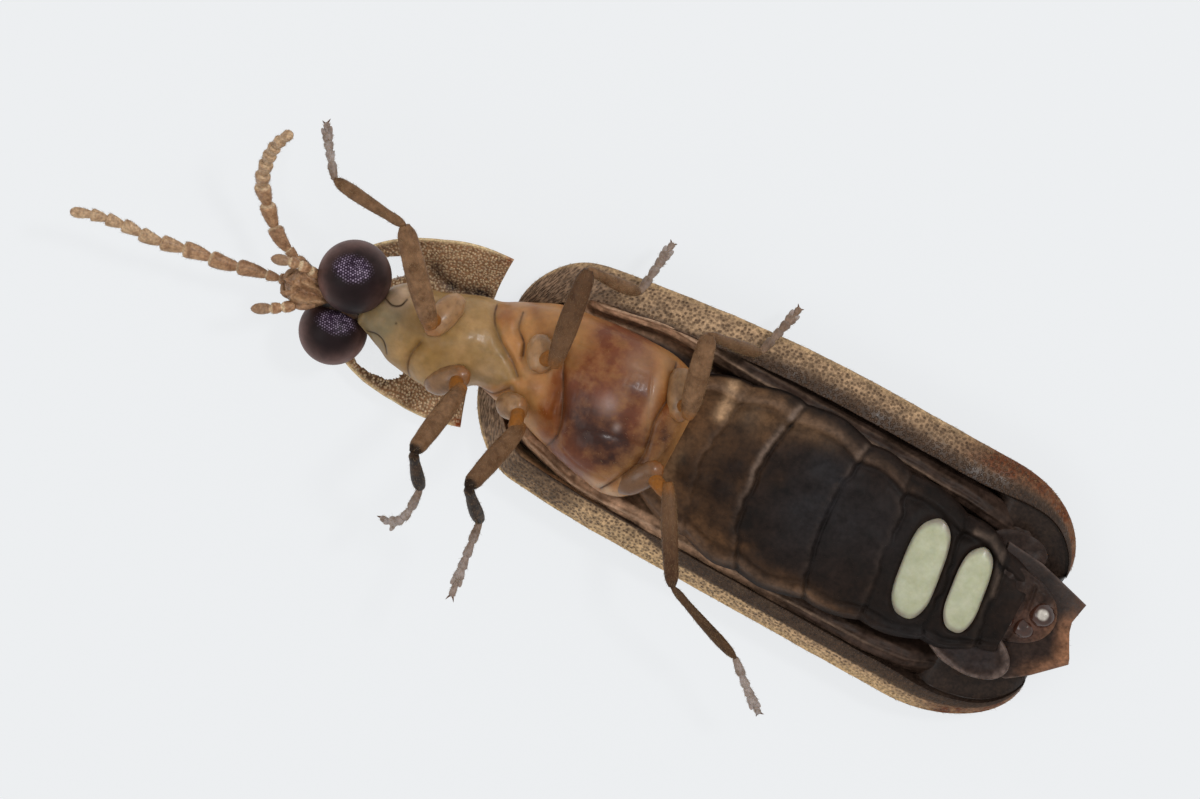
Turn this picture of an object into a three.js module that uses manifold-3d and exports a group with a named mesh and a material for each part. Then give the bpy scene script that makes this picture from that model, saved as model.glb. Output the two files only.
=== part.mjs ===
// A male small European firefly, life size, lying on its back with its legs in the air.
// Millimetres, +Z up, head towards +X, the beetle's own right side towards +Y.
// The wing cases and the neck shield rest on the floor at z = 0.
import * as THREE from 'three';
import { mergeVertices } from 'three/addons/utils/BufferGeometryUtils.js';
import Module from 'manifold-3d';

const wasm = await Module();
wasm.setup();

// Driving sizes
const gap = 0.1; // clear space between neighbouring plates
const bodyOrigin = new THREE.Vector3(1.2, -0.48, 0); // base of the wing cases, from the model's origin

const wingCase = {
  front: 0.2, // x of the shoulder end
  length: 8.05,
  turn: -1.3, // degrees about the shoulders
  halfWidth: { left: 1.77, right: 1.73 },
  shoulderTaper: { left: 0.28, right: 0.1 },
  taperEnd: { left: 0.6, right: 0.3 },
  thickness: 0.42,
  marginHeight: 0.66, // where the outer edge lies above the floor
  foldWidth: 0.36, // the turned-in edge that faces up
  foldRise: 0.24,
  shoulderRise: 0.14,
  tipRise: 0.26,
  ribDepth: 0.05,
};

// The small three-cornered plate between the roots of the wing cases
const scutellum = { front: 0.24, rear: -0.32, halfWidth: 0.22, bottom: 0.04, top: 0.42 };

const hindWing = { front: -0.68, rear: -6.9, bottom: 0.52, thickness: 0.28, halfWidth: 1.14 };

const shield = {
  place: new THREE.Vector3(0.315, 0.32, 0),
  turn: 9.7, // degrees that the fore body bends towards the beetle's right
  length: 2.15,
  halfWidth: 1.2,
  thickness: 0.4,
  rimThickness: 0.16,
  rimRise: 0.34,
};

const pane = { along: 1.34, across: 0.62, length: 0.92, width: 0.48, turn: 28 };

const foreBody = { rear: -0.2, front: 1.72, bottom: 0.5, top: 1.42 };

const hindChest = { front: -0.03, rear: -2.45, step: -0.55, stepHeight: 0.38, bottom: 0.52 };

const belly = { front: -2.35, rear: -7.5, bottom: 0.9, top: 1.42, halfWidth: 0.98, plateStep: 0.045 };
const bellyPlateEdges = [-3.05, -3.74, -4.77, -5.56, -6.3, -6.98];

const tailPlate = { front: -7.04, rear: -8.12, halfWidth: 0.42, bottom: 0.6, top: 1.16 };

const lantern = { rise: 0.07, sink: 0.2, turn: 12 };
const lanterns = {
  lantern_front: { x: -5.94, length: 0.5, width: 1.34 },
  lantern_rear: { x: -6.66, length: 0.47, width: 1.2 },
};

const head = {
  place: new THREE.Vector3(2.15, 0.6, 1.0),
  turn: 10,
  roll: -19.4, // the head is rolled, so that the left eye lies higher
  halfWidth: 0.34,
};

const eye = { radius: 0.43, offset: 0.475 };

// Legs: where each leaves the body, then length, heading and climb of each joint in mm and degrees
const legs = {
  leg_front_left: {
    hip: [0.86, 0.1, 1.3], root: [1.12, 0.0, 1.86],
    femur: [1.25, -50, 12], tibia: [1.12, -1, -25], foot: [0.85, -49, -34],
  },
  leg_front_right: {
    hip: [0.66, 0.76, 1.3], root: [0.3, 0.66, 1.8],
    femur: [1.25, 79, 50], tibia: [1.12, 115, -53], foot: [0.95, 69, -29],
  },
  leg_mid_left: {
    hip: [-0.42, -0.25, 1.62], root: [-0.67, -0.34, 2.06],
    femur: [1.3, -79, 7], tibia: [1.15, 166, -50], foot: [1.0, -99, -49],
  },
  leg_mid_right: {
    hip: [-0.42, 0.5, 1.6], root: [-0.57, 0.66, 2.0],
    femur: [1.3, 75, 52], tibia: [1.15, 120, -55], foot: [1.1, 97, 14],
  },
  leg_hind_left: {
    hip: [-2.12, -0.42, 1.62], root: [-2.4, -0.44, 2.0],
    femur: [1.3, -79, 18], tibia: [1.35, 167, -55], foot: [1.0, -108, -47],
  },
  leg_hind_right: {
    hip: [-2.3, 0.38, 1.62], root: [-2.5, 0.5, 2.0],
    femur: [1.35, 124, 0], tibia: [1.3, 155, -15], foot: [1.0, 135, -23],
  },
};
const legRadius = { hip: 0.28, trochanter: 0.23, femur: 0.25, knee: 0.2, tibia: 0.21, foot: 0.15, claw: 0.05 };
const footJoints = 5;

// Feelers: the four control points of each one's curve
const feelers = {
  antenna_left: [[2.78, 0.44, 0.87], [3.45, 0.3, 0.85], [4.05, -0.55, 1.2], [3.7, -1.32, 2.04]],
  antenna_right: [[2.86, 0.7, 0.9], [3.85, 0.88, 0.98], [4.8, 1.0, 1.12], [5.77, 1.07, 1.4]],
};
const feelerJoints = 11;
const feelerRadius = { root: 0.13, middle: 0.2, tip: 0.14 };

const palps = {
  palp_left: { from: [2.66, 0.44, 1.34], to: [3.26, 0.46, 1.42] },
  palp_right: { from: [2.66, 0.84, 1.2], to: [3.16, 1.18, 1.22] },
};
const palpRadius = 0.15;

// Materials
const finish = (color, roughness) => new THREE.MeshStandardMaterial({ color, roughness, metalness: 0 });
const grainyShell = finish('#8a6f55', 0.5);
const paleShell = finish('#a88c68', 0.5);
const creamSkin = finish('#c9bb8c', 0.4);
const amberShell = finish('#a8714a', 0.3);
const darkShell = finish('#2e2622', 0.4);
const brownShell = finish('#7a4a2c', 0.4);
const limbShell = finish('#7c6353', 0.5);
const eyeLens = finish('#2a1f26', 0.2);
const lightOrgan = finish('#c6c8ae', 0.5);
const clearPane = finish('#dcd8c8', 0.1);
const wingFilm = finish('#3a2c25', 0.35);

// Geometry helpers
const clamp = THREE.MathUtils.clamp;
const radians = THREE.MathUtils.degToRad;
const vector = ([x, y, z]) => new THREE.Vector3(x, y, z);
const steps = (count) => Array.from({ length: count }, (_, i) => i / (count - 1));
const middle = (ring) => ring.reduce((sum, p) => sum.add(p), new THREE.Vector3()).divideScalar(ring.length);

// Six times the volume inside a closed surface, which is negative when its faces point inwards
function signedVolume(points, triangles) {
  let sum = 0;
  for (let i = 0; i < triangles.length; i += 3) {
    const [a, b, c] = [points[triangles[i]], points[triangles[i + 1]], points[triangles[i + 2]]];
    sum += a.dot(b.clone().cross(c));
  }
  return sum;
}

// A closed skin over rings of like count, with each end closed on the middle of its ring
function skin(rings) {
  const count = rings[0].length;
  const points = rings.flat();
  const ends = [points.length, points.length + 1];
  points.push(middle(rings[0]), middle(rings.at(-1)));
  const last = (rings.length - 1) * count;
  const triangles = [];
  for (let i = 0; i < count; i += 1) {
    const next = (i + 1) % count;
    triangles.push(ends[0], next, i, ends[1], last + i, last + next);
    for (let r = 0; r < last; r += count) {
      triangles.push(r + i, r + next, r + count + next, r + i, r + count + next, r + count + i);
    }
  }
  if (signedVolume(points, triangles) < 0) triangles.reverse();
  const geometry = new THREE.BufferGeometry().setFromPoints(points);
  geometry.setIndex(triangles);
  return mergeVertices(geometry, 1e-4);
}

function toSolid(geometry) {
  const bare = geometry.clone();
  bare.deleteAttribute('normal');
  bare.deleteAttribute('uv');
  const merged = mergeVertices(bare, 1e-4);
  return new wasm.Manifold(new wasm.Mesh({
    numProp: 3,
    vertProperties: new Float32Array(merged.attributes.position.array),
    triVerts: new Uint32Array(merged.index.array),
  }));
}

// The largest closed surface of a solid, back as a geometry
function toGeometry(solid) {
  const bodies = solid.simplify(0.003).decompose();
  const largest = bodies.reduce((best, body) => (body.volume() > best.volume() ? body : best));
  const mesh = largest.getMesh();
  const geometry = new THREE.BufferGeometry();
  geometry.setAttribute('position', new THREE.BufferAttribute(new Float32Array(mesh.vertProperties), 3));
  geometry.setIndex(new THREE.BufferAttribute(new Uint32Array(mesh.triVerts), 1));
  return geometry;
}

const sum = (pieces) => pieces.map(toSolid).reduce((whole, piece) => whole.add(piece));
const fuse = (...pieces) => toGeometry(sum(pieces));
const carve = (base, ...cutters) => toGeometry(toSolid(base).subtract(sum(cutters)));
const common = (a, b) => toGeometry(toSolid(a).intersect(toSolid(b)));

// A ring across the body at x: wide by halfWidth, from bottom to top, with its widest line at waist
function bodyRing({ x, y = 0, halfWidth, bottom, top, waist = 0.45, fullness = 2.4, count = 20 }) {
  const line = THREE.MathUtils.lerp(bottom, top, waist);
  return Array.from({ length: count }, (_, i) => {
    const angle = (2 * Math.PI * (i + 0.5)) / count;
    const [c, s] = [Math.cos(angle), Math.sin(angle)];
    const round = (v) => Math.sign(v) * Math.abs(v) ** (2 / fullness);
    const reach = s > 0 ? top - line : line - bottom;
    return new THREE.Vector3(x, y + halfWidth * round(c), line + reach * round(s));
  });
}

// A round tube along points, each with its own radius, closed on its ends
function limb(points, radii, sides = 8) {
  const rings = points.map((point, i) => {
    const before = points[Math.max(i - 1, 0)];
    const after = points[Math.min(i + 1, points.length - 1)];
    const along = after.clone().sub(before).normalize();
    const side = new THREE.Vector3(0.13, 0.21, 1).cross(along).normalize();
    const up = along.clone().cross(side);
    return Array.from({ length: sides }, (_, k) => {
      const angle = (2 * Math.PI * k) / sides;
      return point.clone()
        .addScaledVector(side, radii[i] * Math.cos(angle))
        .addScaledVector(up, radii[i] * Math.sin(angle));
    });
  });
  return skin(rings);
}

// A straight joint whose radius follows a profile of [part of the length, part of the radius]
function joint(from, to, radius, profile, sides) {
  const points = profile.map(([part]) => from.clone().lerp(to, part));
  return limb(points, profile.map(([, share]) => radius * share), sides);
}

const headed = (length, heading, climb) => new THREE.Vector3(length, 0, 0)
  .applyAxisAngle(new THREE.Vector3(0, -1, 0), radians(climb))
  .applyAxisAngle(new THREE.Vector3(0, 0, 1), radians(heading));

// A closed bead, stretched along the three axes
const bead = (radius, place, sides = 10) => new THREE.SphereGeometry(radius, sides, Math.round(sides * 0.7))
  .translate(place.x, place.y, place.z);

// Wing cases, part by part from the shoulder to the tip
function wingCaseHalfWidth(part, side) {
  const shoulder = (1 - (1 - clamp(part / 0.13, 0, 1)) ** 2.3) ** 0.55;
  const grown = Math.sin((Math.PI / 2) * clamp(part / wingCase.taperEnd[side], 0, 1));
  const taper = 1 - wingCase.shoulderTaper[side] * (1 - grown);
  const tip = (1 - clamp((part - 0.72) / 0.28, 0, 1) ** 3.4) ** 0.5;
  return wingCase.halfWidth[side] * (0.3 + 0.7 * shoulder) * taper * Math.max(tip, 0.25);
}

const wingCaseShoulderLift = (part) => wingCase.shoulderRise * clamp((0.12 - part) / 0.12, 0, 1) ** 2;
const wingCaseTipLift = (part) => wingCase.tipRise * clamp((part - 0.8) / 0.2, 0, 1) ** 2;

// Floor side of a wing case, across from the seam: part of the width, and 1 for a hollow between ribs
const wingCaseRibs = [[0, 0], [0.07, 0], [0.11, 1], [0.2, 1], [0.25, 0], [0.31, 0], [0.36, 1], [0.46, 1],
  [0.5, 0], [0.56, 0], [0.61, 1], [0.7, 1]];

function wingCaseRing(part, side) {
  const sign = side === 'left' ? -1 : 1;
  const x = wingCase.front - wingCase.length * part;
  const width = wingCaseHalfWidth(part, side);
  const tipLift = wingCaseTipLift(part);
  const lift = tipLift + wingCaseShoulderLift(part);
  const slim = 1 - 0.5 * clamp((part - 0.75) / 0.25, 0, 1);
  const low = 1 - 0.64 * clamp((part - 0.8) / 0.2, 0, 1) ** 1.5;
  const full = THREE.MathUtils.smoothstep(part, 0.03, 0.13);
  const rim = tipLift + wingCase.marginHeight * THREE.MathUtils.lerp(0.5, low, full);
  const foldWidth = wingCase.foldWidth * THREE.MathUtils.lerp(0.3, low, full);
  const foldTop = rim + wingCase.foldRise * THREE.MathUtils.lerp(0.4, low, full);
  const ceiling = tipLift + wingCase.thickness * slim;
  const seam = gap / 2;
  const outer = wingCaseRibs.map(([share, depth]) => [
    seam + (width - seam) * share,
    lift + wingCase.ribDepth * depth + 0.5 * clamp(share - 0.3, 0, 1) ** 2,
  ]);
  const edge = [
    [width * 0.82, THREE.MathUtils.lerp(lift, rim, 0.3)],
    [width * 0.93, THREE.MathUtils.lerp(lift, rim, 0.6)],
    [width, rim],
    [width - 0.03, rim + 0.04],
    [width - foldWidth, foldTop],
  ];
  const inside = [
    [width - foldWidth - 0.05, THREE.MathUtils.lerp(ceiling, foldTop, 0.35)],
    [width - foldWidth - 0.16, ceiling],
    [width * 0.36, ceiling],
    [seam, ceiling],
  ];
  return [...outer, ...edge, ...inside].map(([y, z]) => new THREE.Vector3(x, sign * y, z));
}

const wingCaseParts = [0, 0.008, 0.022, 0.045, 0.08, 0.13, 0.2, 0.28, 0.36, 0.44, 0.52, 0.6, 0.68, 0.75, 0.81,
  0.86, 0.9, 0.935, 0.965, 0.985, 1];

function scutellumShape(spare) {
  const { front, rear, halfWidth, bottom, top } = scutellum;
  const outline = new THREE.Shape([
    new THREE.Vector2(front + spare, -halfWidth - spare),
    new THREE.Vector2(front + spare, halfWidth + spare),
    new THREE.Vector2(rear - 2 * spare, 0),
  ]);
  return new THREE.ExtrudeGeometry(outline, { depth: top - bottom + 2 * spare, bevelEnabled: false })
    .translate(0, 0, bottom - spare);
}

function wingCaseShape(side) {
  return carve(skin(wingCaseParts.map((part) => wingCaseRing(part, side))), scutellumShape(gap));
}

// Folded hind wings, flat between the wing cases and the belly
function hindWingShape(side) {
  const sign = side === 'left' ? -1 : 1;
  const rings = steps(12).map((part) => {
    const x = THREE.MathUtils.lerp(hindWing.front, hindWing.rear, part);
    const tip = (1 - clamp((part - 0.6) / 0.4, 0, 1) ** 2) ** 0.5;
    const outer = hindWing.halfWidth * (0.82 + 0.18 * Math.min(part / 0.2, 1)) * (0.35 + 0.65 * tip);
    const [low, high] = [hindWing.bottom, hindWing.bottom + hindWing.thickness];
    const fold = 0.02 * Math.sin(part * 9);
    return [[gap, low], [outer * 0.5, low], [outer, low + 0.06], [outer + 0.04, high - 0.08], [outer - 0.1, high],
      [outer * 0.6, high - 0.04 + fold], [gap, high - 0.02]]
      .map(([y, z]) => new THREE.Vector3(x, sign * y, z));
  });
  return skin(rings);
}

// Neck shield, along p from its hind edge and across by q
const shieldHalfWidth = (p) => shield.halfWidth
  * (1 - clamp(p / shield.length, 0, 1) ** 2.6) ** 0.5 * (0.965 + 0.035 * Math.sin(Math.min(p, 0.9) * 3));

function wholeShieldShape() {
  const stations = [0, 0.1, 0.3, 0.6, 0.9, 1.2, 1.45, 1.65, 1.82, 1.95, 2.04, 2.1, 2.14];
  const across = [-1, -0.93, -0.8, -0.62, -0.38, 0, 0.38, 0.62, 0.8, 0.93, 1];
  const rings = stations.map((p) => {
    const width = shieldHalfWidth(p);
    const frontRise = shield.rimRise * clamp((p - 1.3) / 0.85, 0, 1) ** 1.6;
    const low = (share) => Math.max(frontRise, shield.rimRise * clamp((Math.abs(share) - 0.4) / 0.6, 0, 1) ** 1.8);
    const thickness = (share) => THREE.MathUtils.lerp(
      shield.thickness,
      shield.rimThickness,
      Math.max(Math.abs(share) ** 1.5, clamp((p - 1.2) / 0.95, 0, 1)),
    );
    // The hind edge bows forward between corners that draw back
    const along = (share) => (p < 0.2 ? p + (0.14 - 0.16 * share ** 2) * (1 - p / 0.2) : p);
    const under = across.map((share) => new THREE.Vector3(along(share), width * share, low(share)));
    const upper = [...across].reverse()
      .map((share) => new THREE.Vector3(along(share), width * share, low(share) + thickness(share)));
    return [...under, ...upper];
  });
  return skin(rings);
}

const paneCutter = (sign, spare) => new THREE.CylinderGeometry(1, 1, 3, 20)
  .rotateX(Math.PI / 2)
  .scale(pane.length / 2 + spare, pane.width / 2 + spare, 1)
  .rotateZ(sign * -radians(pane.turn))
  .translate(pane.along, sign * pane.across, 0);

// Fore body: the cream neck and breast on the shield, along p
function foreBodyShape(cutters) {
  const stations = [
    { x: foreBody.rear, halfWidth: 0.66, top: 1.38, bottom: 0.62 },
    { x: -0.05, halfWidth: 0.74, top: 1.4, bottom: 0.54 },
    { x: 0.25, halfWidth: 0.72, top: foreBody.top, bottom: foreBody.bottom },
    { x: 0.6, halfWidth: 0.62, top: foreBody.top, bottom: foreBody.bottom },
    { x: 0.95, halfWidth: 0.53, top: 1.36, bottom: foreBody.bottom },
    { x: 1.25, halfWidth: 0.46, top: 1.28, bottom: 0.54 },
    { x: 1.5, halfWidth: 0.34, top: 1.24, bottom: 0.62 },
    { x: foreBody.front, halfWidth: 0.22, top: 1.2, bottom: 0.72 },
  ];
  return carve(skin(stations.map((station) => bodyRing({ ...station, waist: 0.4, fullness: 2.6 }))), ...cutters);
}

// Chest that carries the wing cases and the four hind legs
function hindChestBlock(spare) {
  const stations = [
    { x: hindChest.front, halfWidth: 0.52, top: 1.3 },
    { x: -0.14, halfWidth: 0.66, top: 1.46 },
    { x: -0.5, halfWidth: 0.78, top: 1.6 },
    { x: -0.66, halfWidth: 0.8, top: 1.64 },
    { x: -1.1, halfWidth: 0.9, top: 1.82 },
    { x: -1.5, halfWidth: 0.98, top: 1.88 },
    { x: -1.9, halfWidth: 1.0, top: 1.82 },
    { x: -2.2, halfWidth: 0.9, top: 1.68 },
    { x: hindChest.rear, halfWidth: 0.6, top: 1.46 },
  ];
  const floor = (x) => hindChest.bottom + (x < hindChest.step ? hindChest.stepHeight : 0);
  return skin(stations.map(({ x, halfWidth, top }) => bodyRing({
    x: x - (x === hindChest.rear ? spare : 0),
    y: 0.06 * clamp(-x, 0, 1),
    halfWidth: halfWidth + spare,
    bottom: floor(x) - spare,
    top: top + spare,
    waist: 0.35,
    count: 24,
  })));
}

// Belly, whose plates each overlap the next one by a small step
function bellyHalfWidth(x) {
  const part = (belly.front - x) / (belly.front - belly.rear);
  const swell = 0.9 + 0.1 * Math.sin(Math.PI * clamp(part * 1.6, 0, 1));
  return belly.halfWidth * swell * (1 - 0.5 * clamp((part - 0.7) / 0.3, 0, 1) ** 2);
}

function bellyShape(cutters) {
  const edges = [belly.front, ...bellyPlateEdges, belly.rear];
  const stations = edges.slice(1).flatMap((edge, i) => [
    { x: edges[i] - 0.02, step: 0 },
    { x: (edges[i] + edge) / 2, step: 0.55 },
    { x: edge + 0.02, step: 1 },
  ]);
  const rings = stations.map(({ x, step }) => bodyRing({
    x,
    halfWidth: bellyHalfWidth(x) + belly.plateStep * step * 0.6,
    bottom: belly.bottom,
    top: belly.top - 0.1 * clamp((-5.5 - x) / 2, 0, 1) + belly.plateStep * (step - 1),
    waist: 0.4,
    fullness: 3,
    count: 24,
  }));
  return carve(skin(rings), ...cutters);
}

// Light organs, each a shallow oval dome set in a pocket of the belly
const lanternPrism = ({ x, length, width }, spare) => new THREE.CylinderGeometry(1, 1, 2, 24)
  .rotateX(Math.PI / 2)
  .scale(length / 2 + spare, width / 2 + spare, 1)
  .rotateZ(radians(lantern.turn))
  .translate(x, 0.01, belly.top - lantern.sink - spare + 1);

function lanternShape(plan) {
  const dome = skin([plan.x + plan.length, plan.x, plan.x - plan.length].map((x) => bodyRing({
    x, halfWidth: 1.0, bottom: 0, top: belly.top + lantern.rise - 0.06, waist: 0.9, fullness: 2.2, count: 32,
  })));
  return common(dome, lanternPrism(plan, 0));
}

// Tail plate, notched behind
function tailShape() {
  const { bottom, top } = tailPlate;
  const stations = [
    { x: tailPlate.front, halfWidth: 0.56, bottom, top: 0.8 },
    { x: -7.5, halfWidth: 0.6, bottom: bottom + 0.05, top: 0.8 },
    { x: -7.66, halfWidth: 0.56, bottom: bottom + 0.08, top },
    { x: -7.9, halfWidth: 0.47, bottom: bottom + 0.13, top: top - 0.06 },
    { x: tailPlate.rear, halfWidth: tailPlate.halfWidth, bottom: bottom + 0.16, top: top - 0.2 },
  ];
  const plate = skin(stations.map((station) => bodyRing({ ...station, y: -0.04, fullness: 3.2 })));
  const notch = new THREE.CylinderGeometry(0.3, 0.3, 3, 12).rotateX(Math.PI / 2)
    .scale(0.6, 1, 1).translate(tailPlate.rear - 0.06, -0.05, 1);
  return carve(plate, notch);
}

// Head and eyes, along the head's own x
const eyeBall = (side, spare) => bead(
  eye.radius + spare,
  new THREE.Vector3(0, side === 'left' ? -eye.offset : eye.offset, 0),
  20,
);

function headBlock(spare) {
  const stations = [
    { x: -0.42 - spare, halfWidth: 0.16, bottom: -0.24, top: 0.1 },
    { x: -0.34, halfWidth: 0.28, bottom: -0.34, top: 0.16 },
    { x: -0.1, halfWidth: head.halfWidth, bottom: -0.4, top: 0.2 },
    { x: 0.2, halfWidth: head.halfWidth, bottom: -0.34, top: 0.24 },
    { x: 0.45, halfWidth: 0.3, bottom: -0.22, top: 0.3 },
    { x: 0.62, halfWidth: 0.24, bottom: -0.12, top: 0.3 },
    { x: 0.74, halfWidth: 0.14, bottom: 0, top: 0.24 },
  ];
  return skin(stations.map((station) => bodyRing({
    x: station.x,
    halfWidth: station.halfWidth + spare,
    bottom: station.bottom - spare,
    top: station.top + spare,
    fullness: 2.3,
    count: 16,
  })));
}

// Limbs
const femurProfile = [[-0.04, 0.5], [0.04, 0.85], [0.3, 1], [0.7, 0.95], [0.94, 0.8], [1.03, 0.5]];
const tibiaProfile = [[-0.06, 0.5], [0.02, 0.95], [0.5, 0.92], [0.92, 1.05], [1.02, 0.6]];
const footProfile = [[0, 0.6], [0.75, 1], [1.02, 0.55]];

const hipProfile = [[0, 0.7], [0.15, 1], [0.5, 0.95], [0.85, 0.75], [1, 0.45]];

function hipShape({ hip, root }, spare) {
  const [from, to] = [vector(hip), vector(root)];
  from.addScaledVector(to.clone().sub(from).normalize(), -spare);
  return joint(from, to, legRadius.hip + spare * 1.3, hipProfile, 10);
}

function legShape(plan) {
  const root = vector(plan.root);
  const knee = root.clone().add(headed(...plan.femur));
  const ankle = knee.clone().add(headed(...plan.tibia));
  const toe = ankle.clone().add(headed(...plan.foot));
  const pieces = [
    hipShape(plan, 0),
    bead(legRadius.trochanter, root),
    joint(root, knee, legRadius.femur, femurProfile, 10),
    bead(legRadius.knee, knee, 8),
    joint(knee, ankle, legRadius.tibia, tibiaProfile, 8),
  ];
  const at = (part) => ankle.clone().lerp(toe, part);
  const pitch = 1 / (footJoints + 0.6);
  for (let i = 0; i < footJoints; i += 1) {
    const radius = legRadius.foot * (1.15 - 0.08 * i);
    pieces.push(joint(at(i * pitch), at((i + 1.12) * pitch), radius, footProfile, 6));
  }
  const along = toe.clone().sub(ankle).normalize();
  const spread = new THREE.Vector3(0, 0, 1).cross(along).normalize();
  for (const side of [-1, 1]) {
    const bend = at(0.93).addScaledVector(spread, side * 0.07);
    const point = at(0.97).addScaledVector(spread, side * 0.12).addScaledVector(along, 0.06);
    pieces.push(limb([at(0.84), bend, point], [legRadius.claw, legRadius.claw, legRadius.claw * 0.4], 6));
  }
  return fuse(...pieces);
}

function feelerShape(points, spare) {
  const curve = new THREE.CubicBezierCurve3(...points.map(vector));
  const joints = Array.from({ length: feelerJoints }, (_, i) => {
    const [start, end] = [i / feelerJoints, (i + 1) / feelerJoints];
    const swell = Math.sin(Math.PI * (start + 0.02) ** 0.6);
    const ends = THREE.MathUtils.lerp(feelerRadius.root, feelerRadius.tip, start);
    const radius = THREE.MathUtils.lerp(ends, feelerRadius.middle, swell) + spare;
    const at = (part) => curve.getPointAt(clamp(start + (end - start) * part, 0, 1));
    const rootEnd = i === 0 ? at(0).addScaledVector(curve.getTangentAt(0), -spare) : at(-0.12);
    return limb([rootEnd, at(0.3), at(0.85), at(1)], [0.6, 0.85, 1, 0.75].map((share) => share * radius));
  });
  return fuse(...joints);
}

const palpProfile = [[0, 0.7], [0.25, 0.9], [0.28, 0.8], [0.5, 0.95], [0.53, 0.85], [0.9, 1.1], [1.04, 0.6]];
function palpShape({ from, to }, spare) {
  const [start, end] = [vector(from), vector(to)];
  start.addScaledVector(end.clone().sub(start).normalize(), -spare);
  return joint(start, end, palpRadius + spare, palpProfile, 8);
}

// Scene graph
const model = new THREE.Group();
model.position.copy(bodyOrigin);

const foreGroup = new THREE.Group();
foreGroup.position.copy(shield.place);
foreGroup.rotation.z = radians(shield.turn);
foreGroup.updateMatrix();

const wingGroup = new THREE.Group();
wingGroup.rotation.z = radians(wingCase.turn);

const headGroup = new THREE.Group();
headGroup.position.copy(head.place);
headGroup.rotation.set(radians(head.roll), 0, radians(head.turn), 'ZYX');
headGroup.updateMatrix();
model.add(foreGroup, wingGroup, headGroup);

// A geometry of one group, or of the whole body where no group is named, seen from another group
function seenFrom(group, geometry, own = null) {
  const moved = geometry.clone();
  if (own) moved.applyMatrix4(own.matrix);
  return moved.applyMatrix4(group.matrix.clone().invert());
}

function add(parent, name, geometry, material) {
  const mesh = new THREE.Mesh(geometry, material);
  mesh.name = name;
  parent.add(mesh);
}

const sides = ['left', 'right'];
const hipCutters = (...names) => names.map((name) => hipShape(legs[name], gap));

for (const side of sides) {
  add(wingGroup, `wing_case_${side}`, wingCaseShape(side), paleShell);
  add(wingGroup, `hind_wing_${side}`, hindWingShape(side), wingFilm);
}
add(wingGroup, 'scutellum', scutellumShape(0), brownShell);

const eyeCutters = sides.map((side) => eyeBall(side, gap));
const shieldCutters = [paneCutter(-1, gap / 2), paneCutter(1, gap / 2)];
const eyesFromShield = eyeCutters.map((cutter) => seenFrom(foreGroup, cutter, headGroup));
const headFromShield = seenFrom(foreGroup, headBlock(gap), headGroup);
const wholeShield = carve(wholeShieldShape(), ...eyesFromShield, headFromShield);
add(foreGroup, 'neck_shield', carve(wholeShield, ...shieldCutters), grainyShell);
add(foreGroup, 'shield_pane_left', common(wholeShield, paneCutter(-1, -gap / 2)), clearPane);
add(foreGroup, 'shield_pane_right', common(wholeShield, paneCutter(1, -gap / 2)), clearPane);

add(foreGroup, 'neck_and_breast', foreBodyShape([
  ...eyesFromShield,
  headFromShield,
  ...hipCutters('leg_front_left', 'leg_front_right').map((cutter) => seenFrom(foreGroup, cutter)),
]), creamSkin);

const hindHips = hipCutters('leg_hind_left', 'leg_hind_right');
add(model, 'hind_chest', carve(
  hindChestBlock(0),
  ...hipCutters('leg_mid_left', 'leg_mid_right'),
  ...hindHips,
), amberShell);

add(model, 'belly', bellyShape([
  hindChestBlock(gap),
  ...hindHips,
  ...Object.values(lanterns).map((plan) => lanternPrism(plan, gap)),
]), darkShell);
for (const [name, plan] of Object.entries(lanterns)) add(model, name, lanternShape(plan), lightOrgan);
add(model, 'tail_plate', tailShape(), brownShell);

const mouthCutters = [
  ...Object.values(feelers).map((points) => feelerShape(points, gap)),
  ...Object.values(palps).map((plan) => palpShape(plan, gap)),
].map((cutter) => seenFrom(headGroup, cutter));
add(headGroup, 'head', carve(headBlock(0), ...eyeCutters, ...mouthCutters), brownShell);
for (const side of sides) add(headGroup, `eye_${side}`, eyeBall(side, 0), eyeLens);
for (const [name, points] of Object.entries(feelers)) add(model, name, feelerShape(points, 0), limbShell);
for (const [name, plan] of Object.entries(palps)) add(model, name, palpShape(plan, 0), limbShell);
for (const [name, plan] of Object.entries(legs)) add(model, name, legShape(plan), limbShell);

export default model;
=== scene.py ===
from collections import namedtuple

import bpy
import numpy as np
from mathutils import Matrix


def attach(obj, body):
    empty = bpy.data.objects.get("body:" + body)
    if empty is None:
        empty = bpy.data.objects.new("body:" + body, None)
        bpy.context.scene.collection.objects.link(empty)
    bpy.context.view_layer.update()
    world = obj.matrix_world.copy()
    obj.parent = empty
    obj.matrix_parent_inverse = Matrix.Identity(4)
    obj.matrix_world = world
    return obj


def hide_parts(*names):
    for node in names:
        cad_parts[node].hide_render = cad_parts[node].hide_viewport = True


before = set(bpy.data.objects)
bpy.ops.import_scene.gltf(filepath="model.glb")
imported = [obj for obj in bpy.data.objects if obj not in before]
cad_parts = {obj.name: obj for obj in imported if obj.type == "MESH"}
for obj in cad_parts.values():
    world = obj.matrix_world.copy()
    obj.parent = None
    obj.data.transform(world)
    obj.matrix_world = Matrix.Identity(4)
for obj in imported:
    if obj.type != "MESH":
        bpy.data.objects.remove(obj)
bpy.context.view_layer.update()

# A male small European firefly on its back, life size.
# Shapes are worked out in millimetres in the beetle's own frame: the base of the wing cases is the
# origin, x points to the head, y to the beetle's right and z up, out of its belly.
MM = 0.001
BODY = np.array((1.2, -0.48, 0.0))
SIGNS = {"left": -1, "right": 1}

# Wing cases
WING_TURN = -1.3
WING_FRONT = 0.2
WING_LENGTH = {"left": 7.87, "right": 8.08}
WING_HALF_WIDTH = {"left": 1.79, "right": 1.74}
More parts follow.
